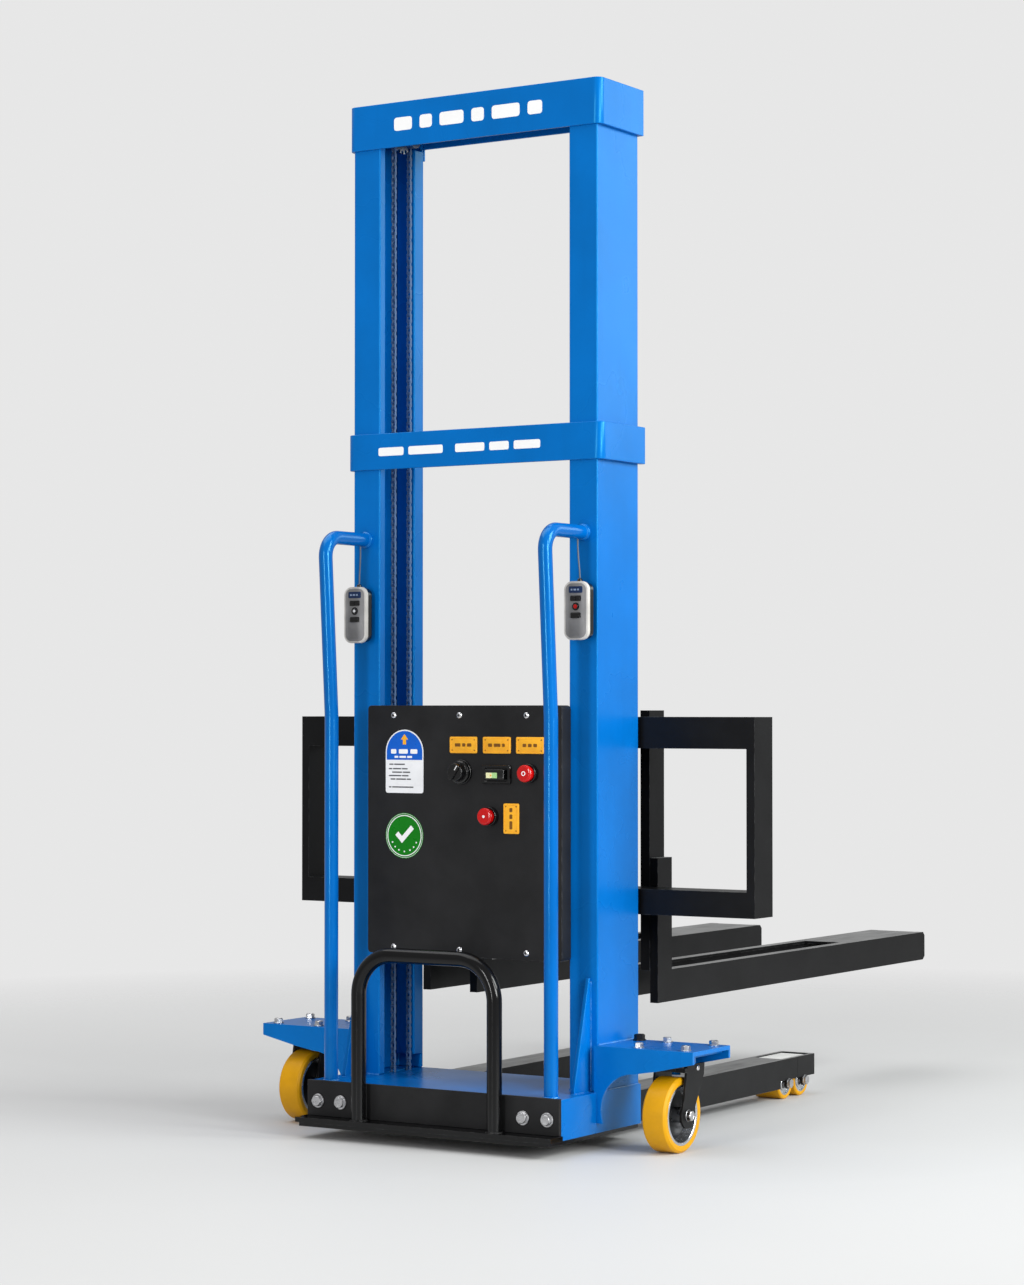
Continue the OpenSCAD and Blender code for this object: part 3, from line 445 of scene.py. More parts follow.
class Shape:
    """Closed shapes gathered into one mesh, each with its own material."""

    def __init__(self):
        self.bm = bmesh.new()
        self.keys = []

    def loops(self, rings, key, matrix, cap=True, around=False):
        """Joins rings of points, each as long as the last, into a closed skin."""
        if key not in self.keys:
            self.keys.append(key)
        index = self.keys.index(key)
        rows = [[self.bm.verts.new(matrix @ Vector(p)) for p in ring] for ring in rings]
        faces = []
        pairs = list(zip(rows, rows[1:])) + ([(rows[-1], rows[0])] if around else [])
        for a, b in pairs:
            for i in range(len(a)):
                j = (i + 1) % len(a)
                faces.append(self.bm.faces.new((a[i], a[j], b[j], b[i])))
        if cap and not around:
            faces.append(self.bm.faces.new(rows[0][::-1]))
            faces.append(self.bm.faces.new(rows[-1]))
        for face in faces:
            face.material_index = index
            face.smooth = True

    def lathe(self, profile, key, matrix, steps=48, around=False):
        """Turns (radius, height) pairs around local Z."""
        rings = [[(*p, height) for p in circle(radius, steps)] for radius, height in profile]
        self.loops(rings, key, matrix, not around, around)

    def slab(self, outline, low_z, high_z, key, matrix, edge=0.0):
        """An outline drawn upward from low_z to high_z, with its top edge rounded by shrinking it."""
        centre = sum(outline, Vector((0, 0))) / len(outline)
        reach = max((p - centre).length for p in outline)
        rings = [[(*p, low_z) for p in outline]]
        for k in range(EDGE_RINGS if edge else 1):
            a = math.pi / 4 * k
            pull = 1 - edge * (1 - math.cos(a)) / reach
            height = high_z - edge * (1 - math.sin(a))
            rings.append([(*(centre + (p - centre) * pull), height) for p in outline])
        self.loops(rings, key, matrix)

    def band(self, outer, inner, low_z, high_z, key, matrix):
        """A flat band between two outlines of as many points."""
        edges = ((outer, low_z), (outer, high_z), (inner, high_z), (inner, low_z))
        rings = [[(*p, z) for p in outline] for outline, z in edges]
        self.loops(rings, key, matrix, cap=False, around=True)

    def tube(self, path, radius, key, matrix, steps=24):
        """A round bar along a path of points. radius is a number, or a function of the share run."""
        path = [Vector(p) for p in path]
        heading = (path[1] - path[0]).normalized()
        side = heading.orthogonal().normalized()
        rings = []
        for i, p in enumerate(path):
            ahead = (path[min(i + 1, len(path) - 1)] - path[max(i - 1, 0)]).normalized()
            side = (heading.rotation_difference(ahead) @ side).normalized()
            heading = ahead
            r = radius(i / (len(path) - 1)) if callable(radius) else radius
            across = heading.cross(side)
            rings.append([p + side * q.x + across * q.y for q in circle(r, steps)])
        self.loops(rings, key, matrix)

    def bar(self, low_corner, high_corner, key):
        """A box between two corners, in millimetres of the mast frame."""
        (x0, y0, z0), (x1, y1, z1) = low_corner, high_corner
        outline = [(x0, y0), (x1, y0), (x1, y1), (x0, y1)]
        rings = [[(*p, z) for p in outline] for z in (z0, z1)]
        self.loops(rings, key, place(0, 0, 0))

    def piece(self, name, body, stands_for=()):
        """Turns the shape into a named object that rides on a body, in place of any CAD nodes named."""
        bmesh.ops.recalc_face_normals(self.bm, faces=self.bm.faces)
        mesh = bpy.data.meshes.new(name)
        self.bm.to_mesh(mesh)
        self.bm.free()
        for key in self.keys:
            mesh.materials.append(M[key])
        mesh.set_sharp_from_angle(angle=SMOOTH_BELOW)
        obj = bpy.data.objects.new(name, mesh)
        SCENE.collection.objects.link(obj)
        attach(obj, body)
        if stands_for:
            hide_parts(*stands_for)


# ------------------------------------------------------------------ mast details

HANDLE_X = 260.0
HANDLE_Y = -122.0
HANDLE_LEAN = 24.0
HANDLE_BEND = 840.0
HANDLE_TOP = 1205.0
HANDLE_R = 14.0
HANDLE_BEND_R = (0, 120, 40, 0)
GUARD_R = 15.0
GUARD_Y = -168.0
GUARD_X = 160.0
GUARD_BEND_R = (0, 80, 80, 0)
GUARD_FOOT = 40.0
GUARD_TOP = 372.0
BASE_TOP = 111.0
GUSSET_SIDES_X = (267.5, 276.5)
GUSSET_TOP = 325.0
GUSSET_REAR = -60.0
COLUMN_INNER_X = 228.0
COLUMN_OUTER_X = 292.3
COLUMN_SEAM_END = 266.0
WING_TOP = 202.0
WING_TOP_SEAM = (2, 133)
WING_FOOT_SEAM = (2, 158)
LEDGE_TOP = 42.0
BEHIND = -0.5


def make_handles():
    """Push bars: one bent tube each, with a flange where it meets the column."""
    for side, s in SIDES.items():
        shape = Shape()
        corners = [(s * HANDLE_X, HANDLE_Y, BASE_TOP - 3), (s * HANDLE_X, HANDLE_Y, HANDLE_BEND),
                   (s * HANDLE_X, HANDLE_Y - HANDLE_LEAN, HANDLE_TOP), (s * HANDLE_X, -1, HANDLE_TOP)]
        path = fillet(corners, HANDLE_BEND_R, 14, closed=False)
        # the push bars take the darker copy of the blue paint, painted shade
        shape.tube(path, HANDLE_R, "shaded_tube_blue", place(0, 0, 0), 32)
        flange = fillet([(0.5, 0), (17, 0), (17, 5), (14, 8), (0.5, 8)], [0, 0, 2, 2, 0], 3)
        shape.lathe(flange, "shaded_tube_blue", place(s * HANDLE_X, 0, HANDLE_TOP, TO_REAR), 40)
        shape.piece("push_bar_" + side, "chassis", [side + "_handle"])


def make_guard():
    """Foot guard: a tube loop that stands on the rear ledge."""
    shape = Shape()
    corners = [(-GUARD_X, GUARD_Y, GUARD_FOOT), (-GUARD_X, GUARD_Y, GUARD_TOP),
               (GUARD_X, GUARD_Y, GUARD_TOP), (GUARD_X, GUARD_Y, GUARD_FOOT)]
    path = fillet(corners, GUARD_BEND_R, 18, closed=False)
    shape.tube(path, GUARD_R, "satin_black", place(0, 0, 0), 32)
    shape.piece("foot_guard_tube", "chassis", ["foot_guard"])


RIPPLE = 2.2


def bead(shape, path, radius, key):
    """A weld bead: a half-sunk bar with a new, uneven radius every few millimetres."""
    path = [Vector(p) for p in path]
    fine = []
    for a, b in zip(path, path[1:]):
        count = max(2, int((b - a).length / RIPPLE))
        fine += [a.lerp(b, k / count) for k in range(count)]
    fine.append(path[-1])
    ripple = [radius * random.uniform(0.8, 1.12) for _ in fine]
    shape.tube(fine, lambda t: ripple[min(len(ripple) - 1, round(t * (len(ripple) - 1)))],
               key, place(0, 0, 0), 8)


def ring_path(x, y, z, radius, steps=40):
    """A level ring that ends where it starts."""
    return [(x + p.x, y + p.y, z) for p in circle(radius, steps)] + [(x + radius, y, z)]


def make_welds():
    """Beads round the feet of the tubes, along the gussets and where the wings meet the base."""
    blue = Shape()
    black = Shape()
    for s in SIDES.values():
        bead(blue, ring_path(s * HANDLE_X, HANDLE_Y, BASE_TOP, HANDLE_R + 0.5), 2.4, "weld_blue")
        for x in GUSSET_SIDES_X:
            bead(blue, [(s * x, GUSSET_REAR, BASE_TOP), (s * x, -1, BASE_TOP)], 2.2, "weld_blue")
            bead(blue, [(s * x, BEHIND, BASE_TOP), (s * x, BEHIND, GUSSET_TOP)], 2.0, "weld_blue")
        column = [(s * x, BEHIND, BASE_TOP) for x in (COLUMN_INNER_X, COLUMN_SEAM_END)]
        bead(blue, column, 2.6, "weld_blue")
        bead(blue, [(s * COLUMN_OUTER_X, y, WING_TOP) for y in WING_TOP_SEAM], 2.4, "weld_blue")
        bead(blue, [(s * COLUMN_OUTER_X, y, BASE_TOP) for y in WING_FOOT_SEAM], 2.2, "weld_blue")
        bead(black, ring_path(s * GUARD_X, GUARD_Y, LEDGE_TOP, GUARD_R + 0.5), 2.4, "weld_black")
    blue.piece("weld_beads_blue", "chassis")
    black.piece("weld_beads_black", "chassis")


CHAIN_X = 235.0
CHAIN_R = 28.0
CHAIN_LOW = 70.0
CHAIN_HIGH = 2044.0
CHAIN_Y = 90.0
CHAIN_LINKS = 328
LINK_R = 4.1
LINK_WAIST = 2.5
LINK_END_ANGLES = [math.radians(degrees) for degrees in (-75, -25, 25, 75)]
LINK_ROLLER = [(3.4, -2.4), (3.4, 2.4)]
LINK_PIN = [(1.6, -5.2), (1.6, 5.2)]
INNER_PLATE = (2.4, 3.4)
OUTER_PLATE = (3.6, 4.6)


def chain_point(s):
    """The point at a share s of the way round an endless chain, up its front and down its rear."""
    run = CHAIN_HIGH - CHAIN_LOW
    turn = math.pi * CHAIN_R
    d = (s % 1.0) * 2 * (run + turn)
    if d < run:
        return Vector((0, CHAIN_R, CHAIN_LOW + d))
    if d < run + turn:
        a = (d - run) / CHAIN_R
        return Vector((0, CHAIN_R * math.cos(a), CHAIN_HIGH + CHAIN_R * math.sin(a)))
    if d < 2 * run + turn:
        return Vector((0, -CHAIN_R, CHAIN_HIGH - (d - run - turn)))
    a = (d - 2 * run - turn) / CHAIN_R
    return Vector((0, -CHAIN_R * math.cos(a), CHAIN_LOW - CHAIN_R * math.sin(a)))


def chain_plate_outline(pitch):
    """A link plate seen from the side: two round ends and a narrower middle."""
    points = []
    for s in (1, -1):
        for a in LINK_END_ANGLES:
            points.append(Vector((s * (pitch / 2 + LINK_R * math.cos(a)), s * LINK_R * math.sin(a))))
        points.append(Vector((0, s * LINK_WAIST)))
    return points


def add_link(shape, x, pin, after, plate):
    """One link: a pair of plates from a pin to the next one, and the roller on the pin."""
    halfway = (pin + after) / 2
    heading = math.atan2(after.z - pin.z, after.y - pin.y)
    turn = Matrix.Rotation(heading, 4, "X") @ Matrix.Rotation(math.pi / 2, 4, "Z")
    turn = turn @ Matrix.Rotation(math.pi / 2, 4, "X")
    outline = chain_plate_outline((after - pin).length)
    spot = place(x, CHAIN_Y + halfway.y, halfway.z, turn)
    for m in (1, -1):
        near, far = sorted((m * plate[0], m * plate[1]))
        shape.slab(outline, near, far, "chain", spot)
    spot = place(x, CHAIN_Y + pin.y, pin.z, TO_RIGHT)
    shape.lathe(LINK_ROLLER, "chain", spot, 10)
    shape.lathe(LINK_PIN, "chain", spot, 8)


def make_chains():
    """Two endless roller chains. Both stand for one CAD node, which the right one names."""
    for side, s in SIDES.items():
        shape = Shape()
        pins = [chain_point(k / CHAIN_LINKS) for k in range(CHAIN_LINKS)]
        for k, pin in enumerate(pins):
            after = pins[(k + 1) % CHAIN_LINKS]
            add_link(shape, s * CHAIN_X, pin, after, OUTER_PLATE if k % 2 else INNER_PLATE)
        shape.piece("roller_chain_" + side, "chassis",
                    ["lift_chains"] if side == "right" else ())


# ------------------------------------------------------------------ fasteners

def hex_loop(flats, limit, height, steps=36):
    """A ring of points on a hexagon, pulled in to a circle where its corners pass the limit."""
    points = []
    for k in range(steps):
        a = 2 * math.pi * k / steps
        off = (a + math.pi / 6) % (math.pi / 3) - math.pi / 6
        r = min(flats / 2 / math.cos(off), limit)
        points.append((r * math.cos(a), r * math.sin(a), height))
    return points


def add_bolt(shape, matrix, flats, head, washer_r, washer_t, key="zinc"):
    """A washer and a hexagon head with a chamfered top and a shallow dished mark."""
    washer = [(0.5, 0), (washer_r - 0.4, 0), (washer_r, 0.4), (washer_r, washer_t - 0.5),
              (washer_r - 0.5, washer_t), (0.5, washer_t)]
    shape.lathe(washer, key, matrix, 36)
    top = washer_t + head
    rings = [hex_loop(flats, flats, washer_t), hex_loop(flats, flats, top - 1.4),
             hex_loop(flats, flats * 0.53, top - 0.8), hex_loop(flats, flats * 0.47, top),
             hex_loop(flats, flats * 0.33, top), hex_loop(flats, flats * 0.3, top - 0.5)]
    shape.loops(rings, key, matrix)


EAR_BOLT_X = (215, 270)
EAR_Y = -152.0
EAR_BOLT_Z = 72.0
CASTER_X = 434.0
KING_Y = 60.0
WHEEL_Y = 40.0
WHEEL_R = 73.0
PLATE_BOLT_X = (-52, 52)
PLATE_BOLT_Y = (-56, 56)
WING_BOLT_X = 318.0
WING_BOLT_Y = 118.0
# bolts, as size across flats, head height, washer radius and washer thickness
EAR_BOLT = (20, 7, 14, 2.5)
PLATE_BOLT = (16, 8, 11, 2)
WING_BOLT = (19, 10, 13, 2.5)
AXLE_NUT = (18.6, 7.6, 11.6, 2)


def any_twist():
    """A random turn, since no two bolt heads stop at the same angle."""
    return Matrix.Rotation(random.uniform(0, 1), 4, "Z")


def make_frame_bolts():
    """The bolts of the rear ears, of the caster plates and of the wings."""
    shape = Shape()
    for s in SIDES.values():
        for x in EAR_BOLT_X:
            add_bolt(shape, place(s * x, EAR_Y, EAR_BOLT_Z, TO_REAR @ any_twist()), *EAR_BOLT)
        for dx in PLATE_BOLT_X:
            for dy in PLATE_BOLT_Y:
                spot = place(s * CASTER_X + dx, KING_Y + dy, WING_TOP, any_twist())
                add_bolt(shape, spot, *PLATE_BOLT)
        add_bolt(shape, place(s * WING_BOLT_X, WING_BOLT_Y, WING_TOP), *WING_BOLT, "dark_steel")
    shape.piece("hex_bolts", "chassis", ["frame_bolts"])


# ------------------------------------------------------------------ wheels

def tyre_profile(inner, outer, half, shoulder):
    """A tread's section with sloped shoulders, as (radius, height) corners."""
    drop = shoulder * 1.25
    corners = [(inner, -half + 1), (inner + 3, -half), (outer - drop, -half), (outer, -half + drop),
               (outer, half - drop), (outer - drop, half), (inner + 3, half), (inner, half - 1)]
    return fillet(corners, [0, 1, 1.2, 1.6, 1.6, 1.2, 1, 0], 4)


RIM_PROFILE = [(50, -6), (53, -24), (54, -25), (58.6, -25), (59, -24.5), (59, 24.5), (58.6, 25),
               (54, 25), (53, 24), (50, 6), (49, 4), (49, -4)]
WEB_PROFILE = [(15, -8), (20, -5), (46, -4), (50, -5), (50, 5), (46, 4), (20, 5), (15, 8)]
SLEEVE_PROFILE = [(8.5, -29), (14, -29.5), (15, -28.5), (15.5, -16), (15.5, 16), (15, 28.5),
                  (14, 29.5), (8.5, 29)]


RIM_R = 59.0
TREAD_HALF = 26.0
TREAD_SHOULDER = 3.5


def make_caster_wheels():
    """A tread, and a cast centre with its rim, web and sleeve, for each caster."""
    for side, s in SIDES.items():
        body = side + "_wheel"
        spot = place(s * CASTER_X, WHEEL_Y, WHEEL_R, TO_RIGHT)
        tyre = Shape()
        tread = tyre_profile(RIM_R, WHEEL_R, TREAD_HALF, TREAD_SHOULDER)
        tyre.lathe(tread, "tyre", spot, 96, around=True)
        tyre.piece("tyre_" + side, body, [side + "_tyre"])
        hub = Shape()
        hub.lathe(RIM_PROFILE, "hub", spot, 96, around=True)
        hub.lathe(WEB_PROFILE, "dark_cast", spot, 96, around=True)
        hub.lathe(SLEEVE_PROFILE, "steel", spot, 64, around=True)
        hub.piece("wheel_centre_" + side, body, [side + "_hub"])


LEG_X = 218.0
ROLLER_Y = {"rear": 876, "front": 952}
ROLLER_R = 35.0
ROLLER_CORE_R = 26.5
ROLLER_HALF = 33.0
ROLLER_SHOULDER = 2.0
ROLLER_CENTRE = [(7.4, -32), (17, -32.4), (18, -31.5), (19, -29), (22, -29), (23, -32), (26, -32.4),
                 (27, -31.8), (27, 31.8), (26, 32.4), (23, 32), (22, 29), (19, 29), (18, 31.5),
                 (17, 32.4), (7.4, 32)]


def make_leg_rollers():
    """Two wide rollers in the tip of each leg."""
    tread = tyre_profile(ROLLER_CORE_R, ROLLER_R, ROLLER_HALF, ROLLER_SHOULDER)
    for side in ("left", "right"):
        for end, y in ROLLER_Y.items():
            shape = Shape()
            spot = place(SIDES[side] * LEG_X, y, ROLLER_R, TO_RIGHT)
            shape.lathe(tread, "tyre", spot, 72, around=True)
            shape.lathe(ROLLER_CENTRE, "hub", spot, 72, around=True)
            name = side + "_" + end
            body = "leg_roller_" + side[0] + end[0]
            shape.piece("roller_" + name, body, [name + "_roller"])


# ------------------------------------------------------------------ control panel

PANEL_Y = -35.0
SCREW_X = (-167, -8, 150)
SCREW_Z = (377, 845)
KNOB = (-3, 732)
ROCKER = (81, 728)
ROCKER_WINDOW = (76, 726.3)
BUTTONS = {"stop": (159, 731), "lower": (66, 645)}


def on_panel(x, z):
    """A place on the panel's face, for a shape that is drawn upward from it."""
    return place(x, PANEL_Y, z, TO_REAR)


def make_panel_screws():
    """Domed socket screws that hold the panel's cover."""
    shape = Shape()
    dome = [(0.4, 0), (6.3, 0), (6.5, 0.4), (6.4, 1.4), (5.6, 2.6), (4.2, 3.6), (2.9, 3.9),
            (2.8, 3.9), (2.7, 1.8), (0.4, 1.8)]
    socket = [hex_loop(4.6, 4, height, 12) for height in (1.7, 2.0)]
    for x in SCREW_X:
        for z in SCREW_Z:
            shape.lathe(dome, "bright_zinc", on_panel(x, z), 32)
            # painted shade: a dark hex sheet on the floor of each screw's socket
            shape.loops(socket, "dark_steel", on_panel(x, z))
    shape.piece("panel_cap_screws", "chassis", ["panel_screws"])


def make_bezels():
    """The knob's ring, the two buttons' cups and the rocker's frame."""
    shape = Shape()
    ring = fillet([(5.1, 0), (25, 0), (25, 5), (5.1, 5)], [0, 0, 1.5, 0], 4)
    shape.lathe(ring, "gloss_black", on_panel(*KNOB), 64, around=True)
    cup = fillet([(5.1, 0), (19, 0), (19, 12), (16.2, 12), (16.2, 4), (5.1, 4)],
                 [0, 0, 1.5, 0.8, 0, 0], 4)
    for spot in BUTTONS.values():
        shape.lathe(cup, "gloss_black", on_panel(*spot), 64, around=True)
    outer = rounded_box(68, 37, 4)
    lip = rounded_box(54, 25.5, 3)
    rings = [[(*p, 0) for p in outer], [(*p, 4.8) for p in outer],
             [(p.x * 0.975, p.y * 0.95, 6) for p in outer],
             [(p.x * 1.04, p.y * 1.06, 6) for p in lip], [(*p, 5.2) for p in lip],
             [(p.x * 0.97, p.y * 0.95, 1.2) for p in lip]]
    shape.loops(rings, "gloss_black", on_panel(*ROCKER))
    shape.piece("control_surrounds", "chassis", ["control_bezels"])


KNOB_TURN = Matrix.Rotation(math.radians(-35), 4, "Z")
FLUTES = 24


def make_knob():
    """Selector: a fluted skirt, a round body and a grip bar with a white mark."""
    shape = Shape()
    skirt = fillet([(0.5, 5.5), (22, 5.5), (23, 7), (23, 11), (20, 13), (0.5, 13)],
                   [0, 0.5, 0.6, 1.5, 1, 0], 4)
    shape.lathe(skirt, "gloss_black", on_panel(*KNOB), 64)
    body = fillet([(0.5, 12), (18.5, 12), (17.6, 27), (0.5, 27)], [0, 0, 2.5, 0], 5)
    shape.lathe(body, "gloss_black", on_panel(*KNOB), 64)
    grip = rounded_box(10.5, 36, 3.5)
    shape.slab(grip, 22, 31.6, "gloss_black", on_panel(*KNOB) @ KNOB_TURN, 1.8)
    mark = shifted(rounded_box(1.6, 11, 0.6, 3), 0, 10.5)
    shape.slab(mark, 31, 31.85, "white", on_panel(*KNOB) @ KNOB_TURN)
    for spot in circle(22.2, FLUTES):
        flute = shifted(rounded_box(1.6, 1.6, 0.5, 2), *spot)
        shape.slab(flute, 6.5, 11.5, "gloss_black", on_panel(*KNOB))
    shape.piece("selector_knob", "knob_body", ["knob"])


def make_rocker():
    """Meter switch: glossy body that nearly fills its surround, with a lit window."""
    shape = Shape()
    body, window = on_panel(*ROCKER), on_panel(*ROCKER_WINDOW)
    shape.slab(rounded_box(29, 12, 1.5), 3.0, 5.6, "gloss_black", body)
    shape.slab(rounded_box(47, 20, 2.5), 5.2, 12.6, "gloss_black", body, 1.4)
    shape.slab(rounded_box(29, 13.5, 1.2), 12.2, 12.9, "dark_steel", window)
    shape.slab(rounded_box(26, 10.8, 0.8), 12.6, 13.1, "lit", window)
    shape.slab(shifted(rounded_box(12, 10.8, 0.4), 7, 0), 12.8, 13.25, "lit_green", window)
    shape.slab(shifted(circle(1.8, 20), -2, 0), 12.9, 13.4, "amber", window)
    shape.piece("meter_switch", "rocker_body", ["rocker"])


def make_push_buttons():
    """Two red heads: the stop button's centre mark is a ring, the lower button's a dot."""
    head = fillet([(0.5, 11), (14.8, 11), (14.8, 16.8), (16.8, 18), (17, 23.4), (15.5, 25.4),
                   (12.5, 26.4), (0.5, 26.4)], [0, 0, 0.6, 0.6, 1.6, 1.6, 1.6, 0], 5)
    ring = fillet([(2.8, 26.2), (4.6, 26.2), (4.6, 26.9), (2.8, 26.9)], 0.25, 2)
    dot = [(0.4, 26.2), (2.8, 26.2), (2.8, 26.9), (0.4, 26.9)]
    for name, at_panel in BUTTONS.items():
        shape = Shape()
        spot = on_panel(*at_panel)
        shape.lathe(head, "red", spot, 64)
        if name == "stop":
            shape.lathe(ring, "white", spot, 48, around=True)
        else:
            shape.lathe(dot, "white", spot, 24)
        shape.lathe([(5, 3), (5, 12)], "dark_steel", spot, 24)
        shape.piece("push_head_" + name, name + "_body", [name + "_button"])


def greeked(shape, rows, key, matrix, low_z, high_z, height):
    """Blocks of various widths in place of lettering. rows holds (left, middle height, widths)."""
    for left, middle_y, widths in rows:
        x = left
        for width in widths:
            block = shifted(rounded_box(width, height, height * 0.22, 3), x + width / 2, middle_y)
            shape.slab(block, low_z, high_z, key, matrix)
            x += width + height * 0.7


AMBER_PLATES = [(2, 786, 65, 33), (81, 786, 65, 33), (159, 786, 65, 33), (115, 641, 36, 60)]
PLATE_BARS = [(13, 7, 10), (9, 15, 6), (8, 8, 8), (16, 9, 8)]
BAR_GAP = 4.5


def make_amber_plates():
    """Legend plates, as (x, z, width, height), with a raised rim, four rivets and a row of bars."""
    shape = Shape()
    for (x, z, w, h), widths in zip(AMBER_PLATES, PLATE_BARS):
        spot = on_panel(x, z)
        shape.slab(rounded_box(w, h, 3), 0, 2.2, "amber", spot, 0.9)
        shape.band(rounded_box(w - 4, h - 4, 2.4), rounded_box(w - 7, h - 7, 1.4), 1.8, 2.7, "amber", spot)
        for sx in (-1, 1):
            for sz in (-1, 1):
                dot = shifted(circle(1.3, 16), sx * (w / 2 - 6), sz * (h / 2 - 6))
                shape.slab(dot, 2.0, 2.9, "amber_dark", spot, 0.5)
        turn = Matrix.Rotation(math.pi / 2 if h > w else 0, 4, "Z")
        total = sum(widths) + BAR_GAP * (len(widths) - 1)
        greeked(shape, [(-total / 2, 0, widths)], "amber_dark", spot @ turn, 2.0, 2.75, 6.5)
    shape.piece("legend_plates", "chassis", ["label_plates"])


ARCH_LABEL = (-141, 752)
ARCH_R = 46.0
ARCH_FOOT = -64.0
ARCH_SPRING = 18.0
ARCH_CORNER = 5.0
HEAD_R = 43.5
HEAD_FOOT = 3.0
ARROW = [(-4, 34), (4, 34), (4, 44), (9, 44), (0, 55), (-9, 44), (-4, 44)]
FINE_PRINT = [(-37, -6, (10, 26)), (-38, -15, (8, 20, 14)), (-30, -22, (24, 18)),
              (-38, -29, (30, 16)), (-34, -36, (12, 24, 10)), (-38, -52, (6, 52))]


def make_arched_label():
    """A white film with a round top, a blue head with an arrow, and bars in place of print.

    The arc already holds both ends of the line round the foot, so they are left out of that line.
    """
    shape = Shape()
    spot = on_panel(*ARCH_LABEL)
    foot = fillet([(-ARCH_R, ARCH_SPRING), (-ARCH_R, ARCH_FOOT), (ARCH_R, ARCH_FOOT),
                   (ARCH_R, ARCH_SPRING)], [0, ARCH_CORNER, ARCH_CORNER, 0], 5, closed=False)
    shape.slab(arc(ARCH_R, ARCH_SPRING) + foot[1:-1], 0, 0.45, "film", spot)
    head = arc(HEAD_R, ARCH_SPRING) + [Vector((-HEAD_R, HEAD_FOOT)), Vector((HEAD_R, HEAD_FOOT))]
    shape.slab(head, 0.4, 0.6, "label_blue", spot)
    shape.slab([Vector(p) for p in ARROW], 0.55, 0.72, "amber", spot)
    greeked(shape, [(-33, 20, (13, 22, 17))], "white", spot, 0.55, 0.72, 9)
    greeked(shape, [(-24, 9, (9, 16, 12))], "white", spot, 0.55, 0.72, 4)
    greeked(shape, FINE_PRINT, "print_grey", spot, 0.4, 0.58, 2.6)
    shape.piece("arched_label", "chassis", ["panel_labels"])


ROUND_LABEL = (-141, 602)
ROUND_LABEL_R = 46.0
LABEL_RINGS = ((41.5, 39.8), (44.6, 44.0))
TICK = [(-22, 1), (-15, 8), (-6, -1), (16, 21), (23, 14), (-6, -15)]
DOT_ANGLES = (205, 225, 245, 270, 295, 315, 335)
DOT_CIRCLE_R = 32.0


def make_round_label():
    """A green sticker with a tick, two rings and a row of dots."""
    shape = Shape()
    spot = on_panel(*ROUND_LABEL)
    shape.slab(circle(ROUND_LABEL_R, 72), 0, 0.4, "label_green", spot)
    for outer, inner in LABEL_RINGS:
        shape.band(circle(outer, 72), circle(inner, 72), 0.35, 0.6, "white", spot)
    shape.slab([Vector(p) for p in TICK], 0.35, 0.6, "white", spot)
    for a in (math.radians(degrees) for degrees in DOT_ANGLES):
        dot = shifted(circle(1.7, 14), DOT_CIRCLE_R * math.cos(a), DOT_CIRCLE_R * math.sin(a))
        shape.slab(dot, 0.35, 0.6, "white", spot)
    shape.piece("round_label", "chassis")


BAND_FACE_Y = -5.9
CAP_MARK_Z = 2054.0
COLLAR_MARK_Z = 1384.0


def make_mast_marks():
    """Abstract white bars on the cap and the band, where such a machine carries its lettering."""
    shape = Shape()
    cap = place(0, BAND_FACE_Y, CAP_MARK_Z, TO_REAR)
    greeked(shape, [(-188, 0, (44, 30, 58, 30, 66, 34))], "white", cap, 0, 0.45, 27)
    collar = place(0, BAND_FACE_Y, COLLAR_MARK_Z, TO_REAR)
    greeked(shape, [(-226, 0, (62, 84)), (-38, 0, (70, 46, 62))], "white", collar, 0, 0.45, 17)
    shape.piece("mast_marks", "chassis")


# ------------------------------------------------------------------ handsets

REMOTE_X = 264.0
REMOTE_Z = 1050.0
REMOTE_FACE = -36.5
REMOTE_W = 55.0
REMOTE_H = 115.0
CLIP_Y = -20.0
CLIP_Z = 1106.0
DISPLAY_UP = 41.0
KEYS_UP = (24.0, 8.0, -10.0)
CORD_D = 3.0
CORD_ROUTE = [(260, -22, 1190.3), (260, -21.8, 1176), (260.8, -21.4, 1160), (262, -21, 1145),
              (263.2, -20.4, 1130), (264, -20, 1113.5)]


def make_cord(side, s):
    """The short lead a handset hangs on, tied under the push bar."""
    route = [at(s * x, y, z) for x, y, z in CORD_ROUTE]
    data = bpy.data.curves.new("cord_" + side, "CURVE")
    data.dimensions = "3D"
    data.bevel_depth = CORD_D / 2 * MM
    data.bevel_resolution = 6
    data.use_fill_caps = True
    line = data.splines.new("POLY")
    line.points.add(len(route) - 1)
    for point, spot in zip(line.points, route):
        point.co = (*spot, 1)
    data.materials.append(M["cord"])
    cord = bpy.data.objects.new("cord_" + side, data)
    SCENE.collection.objects.link(cord)
    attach(cord, side + "_handset")
    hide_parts(side + "_cord")


